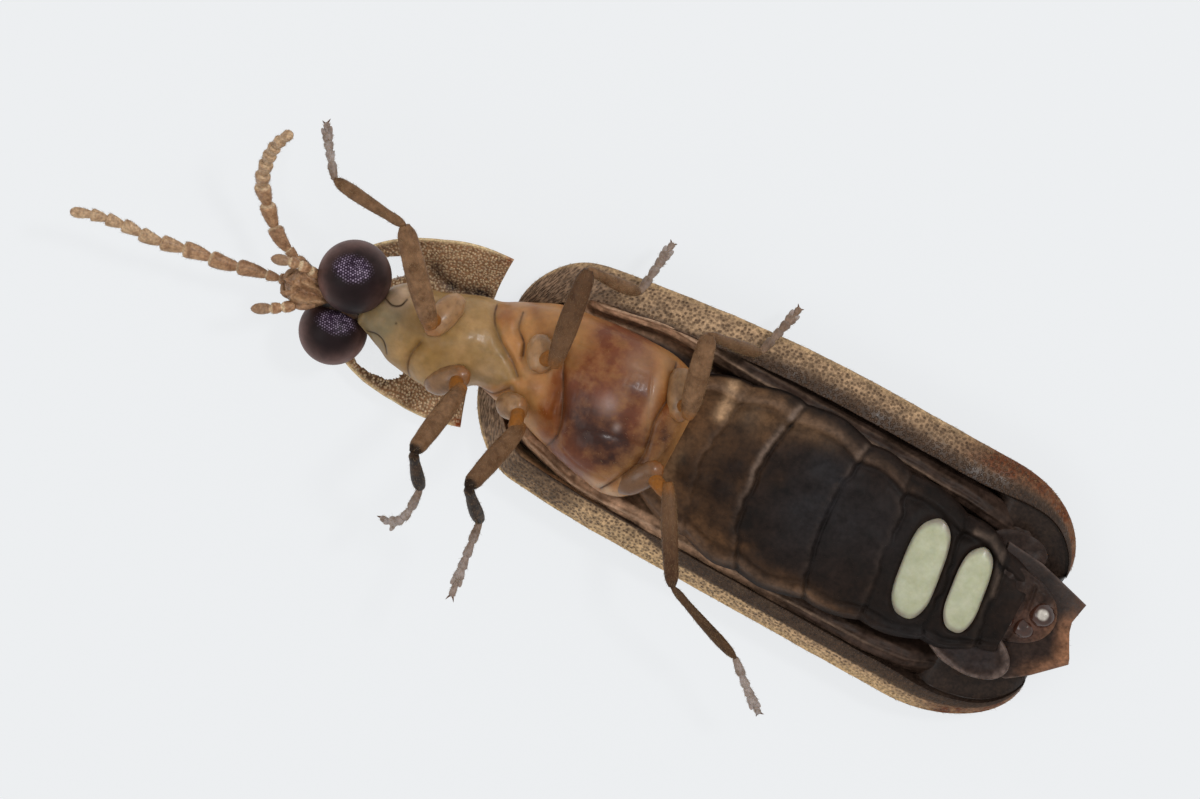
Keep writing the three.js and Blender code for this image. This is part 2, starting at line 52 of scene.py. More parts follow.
# How much narrower the outer edge is at the shoulder, and the part of the length where that ends
SHOULDER_TAPER = {"left": 0.28, "right": 0.1}
TAPER_END = {"left": 0.6, "right": 0.3}
# Distance of the inner edge from the seam, place of the apex as a share of the width, and the
# length over which each edge rounds to it
SEAM = 0.02
APEX = 0.45
OUTER_REACH = 1.4
INNER_REACH = 0.45
SHELL = 0.09
MARGIN_HEIGHT = 0.66
MARGIN_RADIUS = 0.028
# The turned-in edge: its width, how many times as wide it is at the shoulder, and its rise
FOLD_WIDTH = {"left": 0.42, "right": 0.39}
FOLD_SHOULDER = {"left": 1.5, "right": 1.35}
FOLD_RISE = 0.24
TIP_RISE = 0.26
SHOULDER_RISE = 0.14
# Ribs, as shares of the width, and how deep the hollows between them are
RIB_SHARES = (0.24, 0.48, 0.7)
RIB_WIDTH = 0.022
RIB_DEPTH = 0.035
# Part of the length where the rusty tip and the painted shade of the dark tip begin
RUST_START = {"left": 0.72, "right": 0.83}
SHADE_START = {"left": 0.76, "right": 0.84}
CASE_ROWS = 320
CASE_COLUMNS = {"floor": 80, "margin": 7, "band": 38, "wall": 14, "inside": 48}

# Folded hind wings, and the place across, height and width of each crease
FILM_FRONT = -0.45
FILM_LENGTH = 6.95
FILM_REACH = {"left": 1.27, "right": 1.38}
FILM_HEIGHT = 0.56
FILM_RISE = 0.3
FILM_WALL = 0.02
CREASES = ((0.78, 0.03, 0.012), (0.86, 0.05, 0.016), (0.94, 0.03, 0.012))

# The small plate between the wing case roots
SCUTELLUM_FRONT = 0.24
SCUTELLUM_LENGTH = 0.56
SCUTELLUM_HALF_WIDTH = 0.21
SCUTELLUM_HEIGHT = 0.14
SCUTELLUM_BULGE = 0.05
SCUTELLUM_WALL = 0.07

# Neck shield and fore body, along p and across by q
FORE_PLACE = np.array((0.315, 0.32, 0.0))
FORE_TURN = 9.7
SHIELD_LENGTH = 2.15
SHIELD_REACH = 2.145
SHIELD_HALF_WIDTH = 1.2
SHIELD_RISE = 0.33
PANES = {
    "left": {"along": 1.44, "across": 0.53, "length": 0.66, "width": 0.36, "turn": 30},
    "right": {"along": 1.31, "across": 0.62, "length": 0.9, "width": 0.54, "turn": 24},
}
# A long dent on each side of the middle, painted darker as shade, and a dark shade painted along the outside
# of the right window
SHIELD_DENT = ((0.2, 0.54), (0.6, 0.5), (0.8, 0.55), (0.93, 0.68))
SHIELD_SHADE = ((0.85, 0.7), (1.12, 0.98), (1.45, 0.92))

# Neck, breast and chest: x, y of the middle, half-width, top and bottom of each ring
BREAST_STATIONS = (
    (1.92, 0.55, 0.07, 1.06, 0.8),
    (1.89, 0.55, 0.15, 1.15, 0.72),
    (1.82, 0.52, 0.22, 1.22, 0.66),
    (1.72, 0.46, 0.32, 1.29, 0.6),
    (1.6, 0.43, 0.41, 1.33, 0.56),
    (1.46, 0.43, 0.47, 1.36, 0.53),
    (1.33, 0.45, 0.52, 1.38, 0.51),
    (1.13, 0.45, 0.56, 1.4, 0.49),
    (0.85, 0.41, 0.64, 1.42, 0.48),
    (0.6, 0.35, 0.68, 1.42, 0.48),
    (0.36, 0.26, 0.64, 1.41, 0.48),
    (0.16, 0.12, 0.61, 1.4, 0.5),
    (-0.02, 0.08, 0.66, 1.43, 0.52),
    (-0.3, 0.04, 0.76, 1.5, 0.54),
    (-0.55, 0.02, 0.8, 1.58, 0.56),
    (-0.8, 0.03, 0.86, 1.69, 0.6),
    (-1.2, 0.05, 0.94, 1.83, 0.65),
    (-1.6, 0.08, 0.99, 1.88, 0.7),
    (-1.95, 0.11, 1.0, 1.83, 0.75),
    (-2.2, 0.1, 0.9, 1.72, 0.82),
    (-2.38, 0.06, 0.72, 1.58, 0.9),
    (-2.46, 0.04, 0.5, 1.44, 1.0),
)
# Lines where its plates meet, each drawn as a furrow on the skin, seen from above
FURROWS = {
    "ink": (
        ((1.77, 0.2), (1.68, 0.21), (1.57, 0.22), (1.48, 0.17), (1.45, 0.08)),
        ((1.72, 0.7), (1.6, 0.65), (1.47, 0.69), (1.4, 0.77), (1.36, 0.84)),
    ),
    "crease": (
        ((1.04, 0.47), (1.08, 0.66), (1.05, 0.84), (0.97, 0.99)),
        ((0.42, -0.42), (0.38, -0.28), (0.22, -0.1), (0.08, 0.0), (-0.12, 0.12), (-0.26, 0.24)),
        ((0.06, -0.46), (0.02, -0.3), (-0.14, -0.16), (-0.2, -0.02)),
        ((0.3, 0.82), (0.14, 0.72), (-0.1, 0.62), (-0.24, 0.44)),
        ((-0.56, -0.8), (-0.6, -0.5), (-0.7, -0.22), (-0.86, 0.08), (-0.99, 0.36), (-1.06, 0.62),
         (-1.0, 0.9)),
        ((-1.96, -0.88), (-2.08, -0.5), (-2.06, -0.15), (-2.12, 0.12), (-2.14, 0.4), (-2.0, 0.75),
         (-1.86, 1.02)),
    ),
    "seam": (
        ((-1.34, 0.36), (-1.56, 0.28), (-1.8, 0.22), (-2.05, 0.18)),
        ((-1.68, -0.84), (-1.88, -0.4), (-2.05, 0.0)),
        ((-0.62, -0.5), (-1.3, -0.62), (-1.74, -0.66)),
        ((-1.15, 0.72), (-1.5, 0.84), (-1.85, 0.82)),
    ),
}
FURROW_WIDTHS = {"ink": 0.011, "crease": 0.017, "seam": 0.017}
# Soft bulges and dents: height, middle, size and turn of each
BREAST_SWELLS = (
    (0.05, (1.6, 0.44), (0.2, 0.2)),
    (0.09, (0.62, 0.2), (0.26, 0.3)),
    (0.07, (0.9, 0.66), (0.14, 0.2)),
    (0.05, (0.2, 0.32), (0.2, 0.25)),
    (-0.08, (0.78, -0.2), (0.18, 0.14)),
    (0.05, (0.2, -0.4), (0.14, 0.14)),
    (0.06, (-0.36, -0.6), (0.2, 0.14), 20),
    (0.05, (-0.16, 0.36), (0.14, 0.16)),
    (-0.05, (-0.75, 0.06), (0.07, 0.3), 10),
    (0.06, (-2.2, -0.5), (0.1, 0.4), 8),
    (0.06, (-2.24, 0.6), (0.1, 0.4), -8),
)
CHEST_SWELLS = (
    (0.05, (-1.3, -0.2), (0.42, 0.36)),
    (0.05, (-1.45, 0.62), (0.4, 0.3)),
    (-0.04, (-1.66, 0.2), (0.3, 0.12), -12),
)
LOBE_RISE = 0.08
# Colour spots: strength, middle, size and turn of each
BREAST_SPOTS = {
    "lobe": ((1.0, (-0.53, 0.22), (0.1, 0.1)), (0.8, (-0.05, 0.62), (0.1, 0.09))),
    "honey": (
        (0.8, (0.84, 0.44), (0.2, 0.26)),
        (0.4, (1.1, 0.3), (0.2, 0.3)),
        (0.15, (0.28, 0.4), (0.2, 0.25)),
    ),
    "pink": (
        (0.5, (-1.5, 0.95), (0.6, 0.2)),
        (0.8, (-1.1, -0.86), (0.5, 0.16)),
        (0.6, (0.22, -0.34), (0.14, 0.12)),
    ),
    "wine": (
        (0.6, (-1.28, 0.16), (0.34, 0.3), 30),
        (0.75, (-1.74, 0.46), (0.32, 0.26), -20),
        (0.55, (-1.52, 0.28), (0.5, 0.4)),
        (0.5, (-1.65, -0.42), (0.2, 0.2)),
        (0.9, (-2.26, 0.18), (0.24, 0.5)),
    ),
    # clear keeps the wine off the painted highlight on the chest
    "clear": ((0.9, (-1.36, -0.16), (0.16, 0.2)),),
    "orange": (
        (0.9, (-0.72, -0.02), (0.1, 0.22), 14),
        (0.6, (-0.7, 0.5), (0.1, 0.12)),
        (0.9, (-0.86, 0.32), (0.14, 0.24), 14),
        (0.6, (-0.9, 0.62), (0.14, 0.2)),
        (0.95, (-2.1, -0.5), (0.09, 0.36), 8),
        (0.4, (0.0, -0.58), (0.3, 0.07), -20),
        (0.8, (-2.22, 0.16), (0.1, 0.3)),
        (0.4, (-0.5, -0.74), (0.3, 0.06), -16),
    ),
    "pale": (
        (0.35, (-1.9, -0.42), (0.06, 0.3), 12),
        # The pale spot beside the eye is partly painted light where the eye shades the neck
        (1.2, (1.62, 0.07), (0.22, 0.15)),
        (0.5, (-2.28, 0.74), (0.14, 0.14)),
        (0.35, (0.1, 0.35), (0.13, 0.15)),
        (0.3, (-1.54, -0.7), (0.2, 0.15)),
        (0.5, (0.05, -0.38), (0.04, 0.12)),
        (0.75, (-1.93, 0.98), (0.3, 0.07), -10),
    ),
    # shine: a painted highlight, two pale spots on the chest
    "shine": ((0.38, (-1.465, -0.107), (0.13, 0.16)), (0.5, (-1.68, 0.12), (0.05, 0.06))),
    "dot": ((1.0, (1.43, 0.39), (0.014, 0.014)),),
}
PALE_FOLD = ((0.3, 0.7), (0.15, 0.6), (0.0, 0.55))
# Line across, as y and x, where cream gives way to amber, and the middle and size of the chest's disc
AMBER_EDGE = ((-0.6, 0.46), (-0.3, 0.36), (0.0, 0.08), (0.24, -0.26), (0.45, -0.1), (0.72, 0.22))
DISC_MIDDLE = (-1.38, 0.03)
DISC_SIZE = (0.72, 1.0)

# Belly, with its half-width along x
BELLY_FRONT = -2.3
BELLY_REAR = -7.3
BELLY_MIDDLE = 0.08
BELLY_TOP = 1.42
BELLY_BOTTOM = 0.72
BELLY_WIDTHS = ((-7.3, 0.48), (-7.0, 0.64), (-6.6, 0.8), (-6.0, 0.93), (-5.4, 1.02), (-4.7, 1.11),
                (-4.2, 1.18), (-3.6, 1.18), (-2.9, 1.06), (-2.3, 0.86))
# Hind edge of each plate on the midline, its slant and its bow
PLATE_EDGES = ((-2.86, -0.05, -0.16), (-3.54, -0.08, -0.18), (-4.57, -0.09, -0.14), (-5.47, -0.13, 0.03),
               (-6.3, -0.12, 0.05), (-6.96, -0.12, 0.05))
PLATE_STEP = 0.055
# How deep the groove behind each plate is, and how light the plate's hind edge is on the beetle's
# left and right
GROOVE_DEPTHS = (0.3, 1.0, 1.0, 0.7, 0.8, 0.8)
EDGE_TONES = ((0.15, 0.05), (1.0, 0.12), (0.4, 0.08), (0.12, 0.06), (0.0, 0.0), (0.3, 0.1))
# A raised crescent beside the rear organ, and two pale streaks: one at the front, and a painted highlight
# along the side
CRESCENT = ((-6.36, -0.7), (-6.58, -0.72), (-6.77, -0.61), (-6.88, -0.37), (-6.93, -0.1))
FRONT_STREAK = ((-2.74, -0.98), (-2.78, -0.72), (-2.78, -0.54))
SIDE_STREAK = ((-5.95, -0.98), (-6.12, -1.0), (-6.3, -0.94))
# Colour spots: strength, middle and size of each
BELLY_SPOTS = {
    "left": ((1.0, (-3.0, -0.8), (0.5, 0.3)), (1.0, (-3.9, -0.9), (0.4, 0.14))),
    "right": ((0.9, (-3.45, 1.0), (0.4, 0.24)), (0.7, (-4.6, 1.02), (0.6, 0.13))),
    "cloud": (
        (0.6, (-3.12, -0.6), (0.24, 0.26)),
        (0.9, (-3.1, 0.2), (0.32, 0.5)),
        (0.3, (-2.82, -0.32), (0.14, 0.18)),
        (0.8, (-2.62, 0.23), (0.1, 0.2)),
    ),
    "tan": ((0.2, (-2.5, 0.3), (0.12, 0.4)),),
    # blue: a painted bluish sheen on the plates
    "blue": (
        (0.9, (-4.4, 0.0), (0.5, 0.6)),
        (0.6, (-4.3, -0.6), (0.3, 0.2)),
        (0.6, (-5.2, -0.2), (0.5, 0.5)),
        (0.5, (-6.3, 0.9), (0.4, 0.2)),
    ),
}
ORGANS = {
    "light_organ_front": {"x": -5.96, "y": 0.04, "length": 0.52, "width": 1.38, "node": "lantern_front"},
    "light_organ_rear": {"x": -6.62, "y": 0.01, "length": 0.43, "width": 1.17, "node": "lantern_rear"},
}
ORGAN_TURN = 7
ORGAN_POWER = 3.6

# Tail: side edges of the hind plate as part of its length and y, its hind edge as share across and x
TAIL_FRONT = -6.8
TAIL_LEFT = ((0, -0.72), (0.4, -0.66), (0.62, -0.58), (1, -0.43))
TAIL_RIGHT = ((0, 0.86), (0.5, 0.9), (0.7, 0.72), (1, 0.36))
TAIL_REAR = ((-1, -8.06), (-0.8, -8.04), (-0.35, -8.0), (-0.05, -8.03), (0.3, -8.1), (0.75, -8.19),
             (1, -8.22))
# Side lobes: how far each lies below the plate, its size, and how strong its rim is
TAIL_LOBES = {"left": (0.2, 0.66, 0), "right": (0.0, 1.0, 1)}
# The plate that closes the belly: front, length, middle and height of its widest line
COVER_FRONT = -6.85
COVER_LENGTH = 0.97
COVER_MIDDLE = -0.04
COVER_LINE = 1.02
COVER_FURROW = ((-7.36, -0.4), (-7.42, 0.0), (-7.34, 0.4))
COVER_SWELLS = ((0.8, (-7.1, 0.36), (0.2, 0.12)), (0.7, (-7.2, -0.36), (0.3, 0.1)))
COVER_BUMPS = ((1.0, (-7.55, 0.05), (0.2, 0.24)), (0.6, (-7.2, 0.12), (0.1, 0.14)))
# Knobs: middle, radius and how strong the painted highlight on the tip is, and the way that highlight faces
KNOBS = (
    ((-7.61, -0.12, 1.05), 0.17, 0.75),
    ((-7.48, 0.15, 1.02), 0.15, 0.0),
    ((-7.21, 0.14, 1.13), 0.12, 0.0),
)
KNOB_HIGHLIGHT_WAY = np.array((-0.02, -0.24, 0.97))
TAIL_PAINTS = ("glow", "bump", "blue", "rim")

# Eyes: middle and radius, then the patch of painted violet sheen and the shaded sides that get no painted
# pale rim, seen from above along the camera's way
EYES = {"left": ((2.18, 0.155, 1.17), 0.475), "right": ((2.12, 1.015, 0.78), 0.443)}
EYE_STEPS = 27
EYE_SHEEN_PATCH = {"left": ((-0.03, 0.2), (0.5, 0.36), -12), "right": ((0.1, 0.22), (0.56, 0.32), -14)}
EYE_SHADED_SIDES = {
    "left": ((1.0, (-0.1, -0.85), (0.75, 0.55)), (0.6, (0.9, 0.0), (0.3, 0.6))),
    "right": ((1.0, (0.35, 0.6), (0.75, 0.55)),),
}

# Muzzle, in a frame of its own: x, half-width, top and bottom of each ring
MUZZLE_PLACE = np.array((2.2, 0.53, 0.98))
MUZZLE_TURN = 10.5
MUZZLE_LENGTH = 0.74
MUZZLE_STATIONS = (
    (0.0, 0.02, 0.1, 0.0),
    (0.08, 0.06, 0.17, -0.12),
    (0.18, 0.125, 0.22, -0.22),
    (0.3, 0.195, 0.27, -0.3),
    (0.42, 0.24, 0.3, -0.32),
    (0.52, 0.255, 0.3, -0.28),
    (0.61, 0.225, 0.28, -0.22),
    (0.69, 0.15, 0.24, -0.14),
    (0.74, 0.07, 0.18, -0.05),
)
MUZZLE_RIDGES = (
    ((0.14, 0.0), (0.3, -0.1), (0.52, -0.13)),
    ((0.2, 0.06), (0.36, 0.1), (0.56, 0.1)),
    ((0.6, -0.16), (0.64, 0.0), (0.6, 0.15)),
)
MUZZLE_SWELLS = ((0.06, (0.46, -0.16), (0.1, 0.08)), (0.06, (0.46, 0.17), (0.1, 0.08)))
MUZZLE_FURROW = ((0.28, 0.0), (0.56, -0.01))
# Jaw, base of the palp, palp of the lip and root of the feeler on one side: route, radius and how
# dark it is
MOUTH_PARTS = (
    (((0.56, 0.16, 0.06), (0.72, 0.15, 0.08), (0.79, 0.02, 0.1)), 0.045, 0.4),
    (((0.3, 0.13, 0.2), (0.46, 0.2, 0.24), (0.56, 0.24, 0.2)), 0.062, 0.1),
    (((0.6, 0.05, 0.28), (0.69, 0.08, 0.33), (0.76, 0.1, 0.32)), 0.034, 0.0),
    (((0.5, 0.14, -0.2), (0.6, 0.15, -0.15), (0.66, 0.14, -0.12)), 0.09, 0.3),
)

# Feelers and palps, as points that they pass through
FEELERS = {
    "antenna_left": ((2.62, 0.46, 0.84), (2.79, 0.42, 0.86), (3.06, 0.33, 0.9), (3.25, 0.24, 0.92),
                     (3.46, 0.06, 0.95), (3.63, -0.15, 1.05), (3.76, -0.34, 1.2), (3.81, -0.52, 1.38),
                     (3.83, -0.72, 1.56), (3.83, -0.92, 1.76), (3.79, -1.14, 1.96), (3.7, -1.36, 2.14)),
    "antenna_right": ((2.66, 0.64, 0.86), (2.86, 0.66, 0.9), (3.09, 0.71, 0.94), (3.38, 0.76, 0.96),
                      (3.74, 0.85, 0.98), (4.11, 0.88, 1.03), (4.43, 0.94, 1.07), (4.73, 0.98, 1.12),
                      (5.01, 0.97, 1.18), (5.24, 0.98, 1.24), (5.45, 1.0, 1.3), (5.79, 1.1, 1.36)),
}
PALPS = {
    "palp_left": ((2.6, 0.36, 1.2), (2.78, 0.31, 1.34), (2.94, 0.31, 1.4), (3.23, 0.39, 1.42)),
    "palp_right": ((2.56, 0.72, 1.12), (2.74, 0.89, 1.2), (2.92, 1.01, 1.24), (3.17, 1.15, 1.24)),
}
# Length of each joint beside the others, its radius, and how the radius changes along a joint
FEELER_JOINTS = (0.36, 0.15, 0.354, 0.338, 0.327, 0.272, 0.262, 0.229, 0.207, 0.19, 0.24)
FEELER_RADII = (0.078, 0.074, 0.106, 0.112, 0.112, 0.106, 0.1, 0.095, 0.09, 0.085, 0.078)
FEELER_PROFILE = ((0, 0.5), (0.06, 0.6), (0.3, 0.78), (0.6, 0.93), (0.82, 1.0), (0.91, 0.95), (0.97, 0.74),
                  (1.0, 0.5))
PALP_JOINTS = (0.16, 0.15, 0.12, 0.21)
PALP_RADII = (0.07, 0.075, 0.075, 0.08)
PALP_PROFILE = ((0, 0.62), (0.12, 0.8), (0.45, 1.0), (0.75, 0.98), (0.9, 0.82), (1.0, 0.5))

# Legs: foot of the hip, its tip, then root, knee, ankle and toe
LEGS = {
    "leg_front_left": ((0.86, -0.26, 1.2), (1.02, 0.28, 1.54), (1.0, 0.12, 1.8), (1.89, -0.98, 2.12),
                       (2.96, -0.97, 1.66), (3.43, -1.5, 1.18)),
    "leg_front_right": ((0.7, 0.96, 1.2), (0.31, 0.48, 1.52), (0.3, 0.62, 1.75), (0.45, 1.42, 2.76),
                        (0.17, 2.03, 1.9), (0.46, 2.78, 1.44)),
    "leg_mid_left": ((-0.28, -0.38, 1.48), (-0.5, 0.02, 1.64), (-0.6, -0.2, 1.84), (-0.43, -1.6, 2.17),
                     (-1.13, -1.43, 1.27), (-1.22, -2.08, 0.52)),
    "leg_mid_right": ((-0.22, 0.68, 1.42), (-0.56, 0.5, 1.66), (-0.6, 0.68, 1.86), (-0.37, 1.4, 3.09),
                      (-0.7, 2.0, 2.07), (-0.83, 3.05, 2.33)),
    "leg_hind_left": ((-2.06, -0.86, 1.5), (-2.36, -0.3, 1.72), (-2.41, -0.44, 1.88), (-2.16, -1.63, 2.34),
                      (-2.85, -1.46, 1.22), (-3.05, -2.1, 0.49)),
    "leg_hind_right": ((-2.06, 0.9, 1.5), (-2.42, 0.32, 1.7), (-2.58, 0.43, 1.88), (-3.25, 1.61, 1.93),
                       (-4.4, 2.14, 1.6), (-5.05, 2.78, 1.22)),
}
# How dark each shin and each thigh is, and how pale each hip and each foot
LEG_TONES = {
    "leg_front_left": (0.05, 0.0, 1.0, 0.85),
    "leg_front_right": (1.0, 0.15, 0.4, 0.8),
    "leg_mid_left": (0.0, 0.75, 1.0, 0.6),
    "leg_mid_right": (1.0, 0.35, 0.7, 0.7),
    "leg_hind_left": (0.15, 0.1, 0.7, 0.3),
    "leg_hind_right": (0.55, 0.9, 0.15, 1.0),
}
# Radius of each thigh and shin
THICKNESS = {
    "leg_front_left": (0.15, 0.08),
    "leg_front_right": (0.132, 0.08),
    "leg_mid_left": (0.14, 0.082),
    "leg_mid_right": (0.13, 0.082),
    "leg_hind_left": (0.14, 0.08),
    "leg_hind_right": (0.108, 0.064),
}
HIP_RADIUS = 0.18
RING_RADIUS = 0.095
LOBE_RADIUS = 0.034
CLAW_RADIUS = 0.016
FOOT_RADIUS = 0.066
FOOT_JOINTS = (0.3, 0.2, 0.17, 0.14, 0.25)
FOOT_SIZES = (0.95, 0.95, 1.0, 1.15, 0.7)
# How far the middle of a foot is pushed out of the straight line
FOOT_BENDS = {"leg_front_right": (-0.12, 0.12, 0.03)}
# How the radius changes along each part: part of the length and part of the radius
HIP_PROFILE = ((0, 0.5), (0.12, 0.8), (0.4, 1.0), (0.7, 0.92), (0.92, 0.6), (1, 0.2))
RING_PROFILE = ((0, 0.6), (0.2, 0.95), (0.5, 1.0), (0.85, 0.85), (1, 0.6))
THIGH_PROFILE = ((0, 0.55), (0.08, 0.74), (0.3, 0.96), (0.55, 1.0), (0.8, 0.9), (0.93, 0.78), (1, 0.45))
SHIN_PROFILE = ((0, 0.4), (0.06, 0.72), (0.25, 0.84), (0.55, 1.08), (0.8, 1.1), (0.94, 0.82), (1, 0.4))
FOOT_PROFILE = ((0, 0.6), (0.12, 0.7), (0.5, 0.9), (0.8, 1.0), (0.93, 0.88), (1.0, 0.6))
LEG_PAINTS = ("shin", "toe", "amber", "brown")

# Camera: it looks down, tilted off the upright towards the beetle's left, and is rolled, in degrees
CAMERA_AIM = np.array((-0.125, -0.316, 0.8))
CAMERA_DISTANCE = 120.0
CAMERA_ROLL = 27.9
CAMERA_TILT = 14.0
FRAME_WIDTH = 15.385
SENSOR = 36.0

# How strongly horn bends light
HORN_IOR = 1.56

# Floor and light. Each soft lamp has its place and size in millimetres and its power in watts.
FLOOR_REACH = 1.5
FLOOR_GLOW = 0.83
SKY_STRENGTH = 0.66
SOFTBOXES = {
    "key_softbox": ((-50, -95, 150), 26, 0.11),
    "fill_softbox": ((90, 60, 140), 90, 0.045),
}

Shape = namedtuple("Shape", "points faces masks")


# Small sums

def smooth(t):
    """Rises from 0 to 1 and is level at both ends."""
    t = np.clip(t, 0, 1)
    return t * t * (3 - 2 * t)


def follow(stations, values, t):
    """A smooth line through stations: cubic stretches with the mean slope of both sides at each."""
    stations = np.asarray(stations, dtype=float)
    values = np.asarray(values, dtype=float)
    slopes = np.gradient(values, stations, axis=0)
    t = np.atleast_1d(t)
    i = np.clip(np.searchsorted(stations, t) - 1, 0, len(stations) - 2)
    span = stations[i + 1] - stations[i]
    u = np.clip((t - stations[i]) / span, 0, 1)
    if values.ndim == 2:
        u, span = u[:, None], span[:, None]
    rest = 1 - u
    return (values[i] * (1 + 2 * u) * rest ** 2 + values[i + 1] * u ** 2 * (3 - 2 * u)
            + slopes[i] * span * u * rest ** 2 - slopes[i + 1] * span * u ** 2 * rest)


def between(table, t):
    """Straight lines between the pairs of a table."""
    return np.interp(t, *zip(*table))


def power(values, exponent):
    """A power of the size that keeps the sign, as a superellipse needs."""
    return np.sign(values) * np.abs(values) ** exponent


def rotated(u, v, degrees):
    """Two flat coordinates turned about 0 from the first towards the second."""
    c, s = np.cos(np.radians(degrees)), np.sin(np.radians(degrees))
    return u * c - v * s, u * s + v * c


def blob(x, y, place, size, turn=0.0):
    """A soft round spot: e to the minus squared distance, measured in the two sizes."""
    u, v = rotated(x - place[0], y - place[1], -turn)
    return np.exp(-((u / size[0]) ** 2 + (v / size[1]) ** 2))


def spots(x, y, table):
    """The sum of soft spots, each of them a strength, a middle, a size and perhaps a turn."""
    return sum(strength * blob(x, y, *spot) for strength, *spot in table)


def near_line(x, y, route, width):
    """A soft line: e to the minus squared distance to the nearest stretch of a route, in widths."""
    nearest = np.full(np.shape(x), np.inf)
    for start, end in zip(route[:-1], route[1:]):
        run = np.subtract(end, start)
        t = np.clip(((x - start[0]) * run[0] + (y - start[1]) * run[1]) / (run @ run), 0, 1)
        nearest = np.minimum(nearest, (x - start[0] - t * run[0]) ** 2 + (y - start[1] - t * run[1]) ** 2)
    return np.exp(-nearest / width ** 2)


def uneven(points, size, seed, waves=14):
    """Unevenness about as wide as size: a sum of sine waves in seeded directions."""
    rng = np.random.default_rng(seed)
    ways = rng.normal(size=(waves, 3))
    ways /= np.linalg.norm(ways, axis=1, keepdims=True) * size * rng.uniform(0.7, 1.6, (waves, 1))
    return np.sin(points @ ways.T * 2 * np.pi + rng.uniform(0, 2 * np.pi, waves)).sum(axis=-1) / waves ** 0.5


def unit(vectors):
    """Each vector divided by its length."""
    return vectors / np.maximum(np.linalg.norm(vectors, axis=-1, keepdims=True), 1e-12)


def turned(points, degrees, place=(0, 0, 0)):
    """Points turned about an upright line through the origin, then moved to a place."""
    c, s = np.cos(np.radians(degrees)), np.sin(np.radians(degrees))
    return points @ np.array(((c, s, 0), (-s, c, 0), (0, 0, 1))) + np.asarray(place)


def from_fore(points):
    """Points of the fore body's frame, turned and moved into the beetle's."""
    return turned(points, FORE_TURN, FORE_PLACE)


def from_muzzle(points):
    """Points of the muzzle's frame, turned and moved into the beetle's."""
    return turned(points, MUZZLE_TURN, MUZZLE_PLACE)


# Meshes

def stack(*columns):
    """Coordinates that are given by row, by column or by point, as points of one grid."""
    return np.stack(np.broadcast_arrays(*columns), axis=-1)


def grid_quads(rows, columns, wrap):
    """Corner numbers of a grid's cells, row by row; wrap joins the last column to the first."""
    i, j = np.meshgrid(np.arange(rows - 1), np.arange(columns if wrap else columns - 1), indexing="ij")
    k = (j + 1) % columns
    return np.stack((i * columns + j, i * columns + k, (i + 1) * columns + k, (i + 1) * columns + j),
                    axis=-1).reshape(-1, 4)


def ring_angles(columns, crowding):
    """Angles around a ring: crowding moves them by a sine, closer together above and below."""
    angle = (np.arange(columns) + 0.5) * 2 * np.pi / columns
    return (angle - crowding * np.sin(2 * angle - np.pi) / 2)[None]


def closed_rings(rings, masks=None):
    """A closed skin over a grid of rings, with each end closed on the middle of its ring."""
    rows, columns = rings.shape[:2]
    last = (rows - 1) * columns
    points = np.concatenate((rings.reshape(-1, 3), rings[0].mean(axis=0)[None], rings[-1].mean(axis=0)[None]))
    j = np.arange(columns)
    k = (j + 1) % columns
    front = np.stack((np.full(columns, rows * columns), k, j), axis=-1)
    rear = np.stack((np.full(columns, rows * columns + 1), last + j, last + k), axis=-1)
    spread = {}
    for name, values in (masks or {}).items():
        values = np.asarray(values, dtype=float)
        wide = values.shape[2:]
        values = np.broadcast_to(values, (rows, columns) + wide)
        ends = np.stack((values[0].mean(axis=0), values[-1].mean(axis=0)))
        spread[name] = np.concatenate((values.reshape((-1,) + wide), ends))
    return Shape(points, [grid_quads(rows, columns, True), front, rear], spread)


def point_masks(masks, rows, columns):
    """Masks that are given by row, by column or by point of a grid, as one value for each point."""
    wide = {name: np.broadcast_to(values, (rows, columns) + np.shape(values)[2:])
            for name, values in masks.items()}
    return {name: values.reshape((-1,) + values.shape[2:]) for name, values in wide.items()}


def paints(names, **given):
    """One mask for each name, and 0 where none is given, so that joined shapes have the same ones."""
    return {name: given.get(name, 0.0) for name in names}


def two_walled(sheet, quads, thickness, masks=None):
    """A plate from a sheet: it is moved half its thickness each way along its normals, and a wall
    closes every edge that only one face uses."""
    corners = sheet[quads]
    flat = np.cross(corners[:, 2] - corners[:, 0], corners[:, 3] - corners[:, 1])
    normals = np.zeros_like(sheet)
    for k in range(4):
        np.add.at(normals, quads[:, k], flat)
    half = unit(normals) * np.broadcast_to(thickness, len(sheet))[:, None] / 2
    used = np.unique(quads)
    place = np.full(len(sheet), -1)
    place[used] = np.arange(len(used))
    quads = place[quads]
    count = len(used)
    edges = np.concatenate([quads[:, (k, (k + 1) % 4)] for k in range(4)])
    keys = np.sort(edges, axis=1)
    _, first, uses = np.unique(keys[:, 0] * count + keys[:, 1], return_index=True, return_counts=True)
    rim = edges[first[uses == 1]]
    walls = np.stack((rim[:, 1], rim[:, 0], rim[:, 0] + count, rim[:, 1] + count), axis=-1)
    points = np.concatenate((sheet[used] + half[used], sheet[used] - half[used]))
    spread = {}
    for name, values in (masks or {}).items():
        values = np.asarray(values, dtype=float)
        values = np.broadcast_to(values, (len(sheet),) + values.shape[1:])[used]
        spread[name] = np.concatenate((values, values))
    return Shape(points, [np.concatenate((quads, quads[:, ::-1] + count, walls))], spread)


def outward(shape):
    """The shape with its faces turned over if the volume that they close is negative."""
    volume = 0.0
    for group in shape.faces:
        for k in range(1, group.shape[1] - 1):
            a, b, c = (shape.points[group[:, m]] for m in (0, k, k + 1))
            volume += np.einsum("ij,ij->", a, np.cross(b, c))
    if volume > 0:
        return shape
    return Shape(shape.points, [group[:, ::-1] for group in shape.faces], shape.masks)


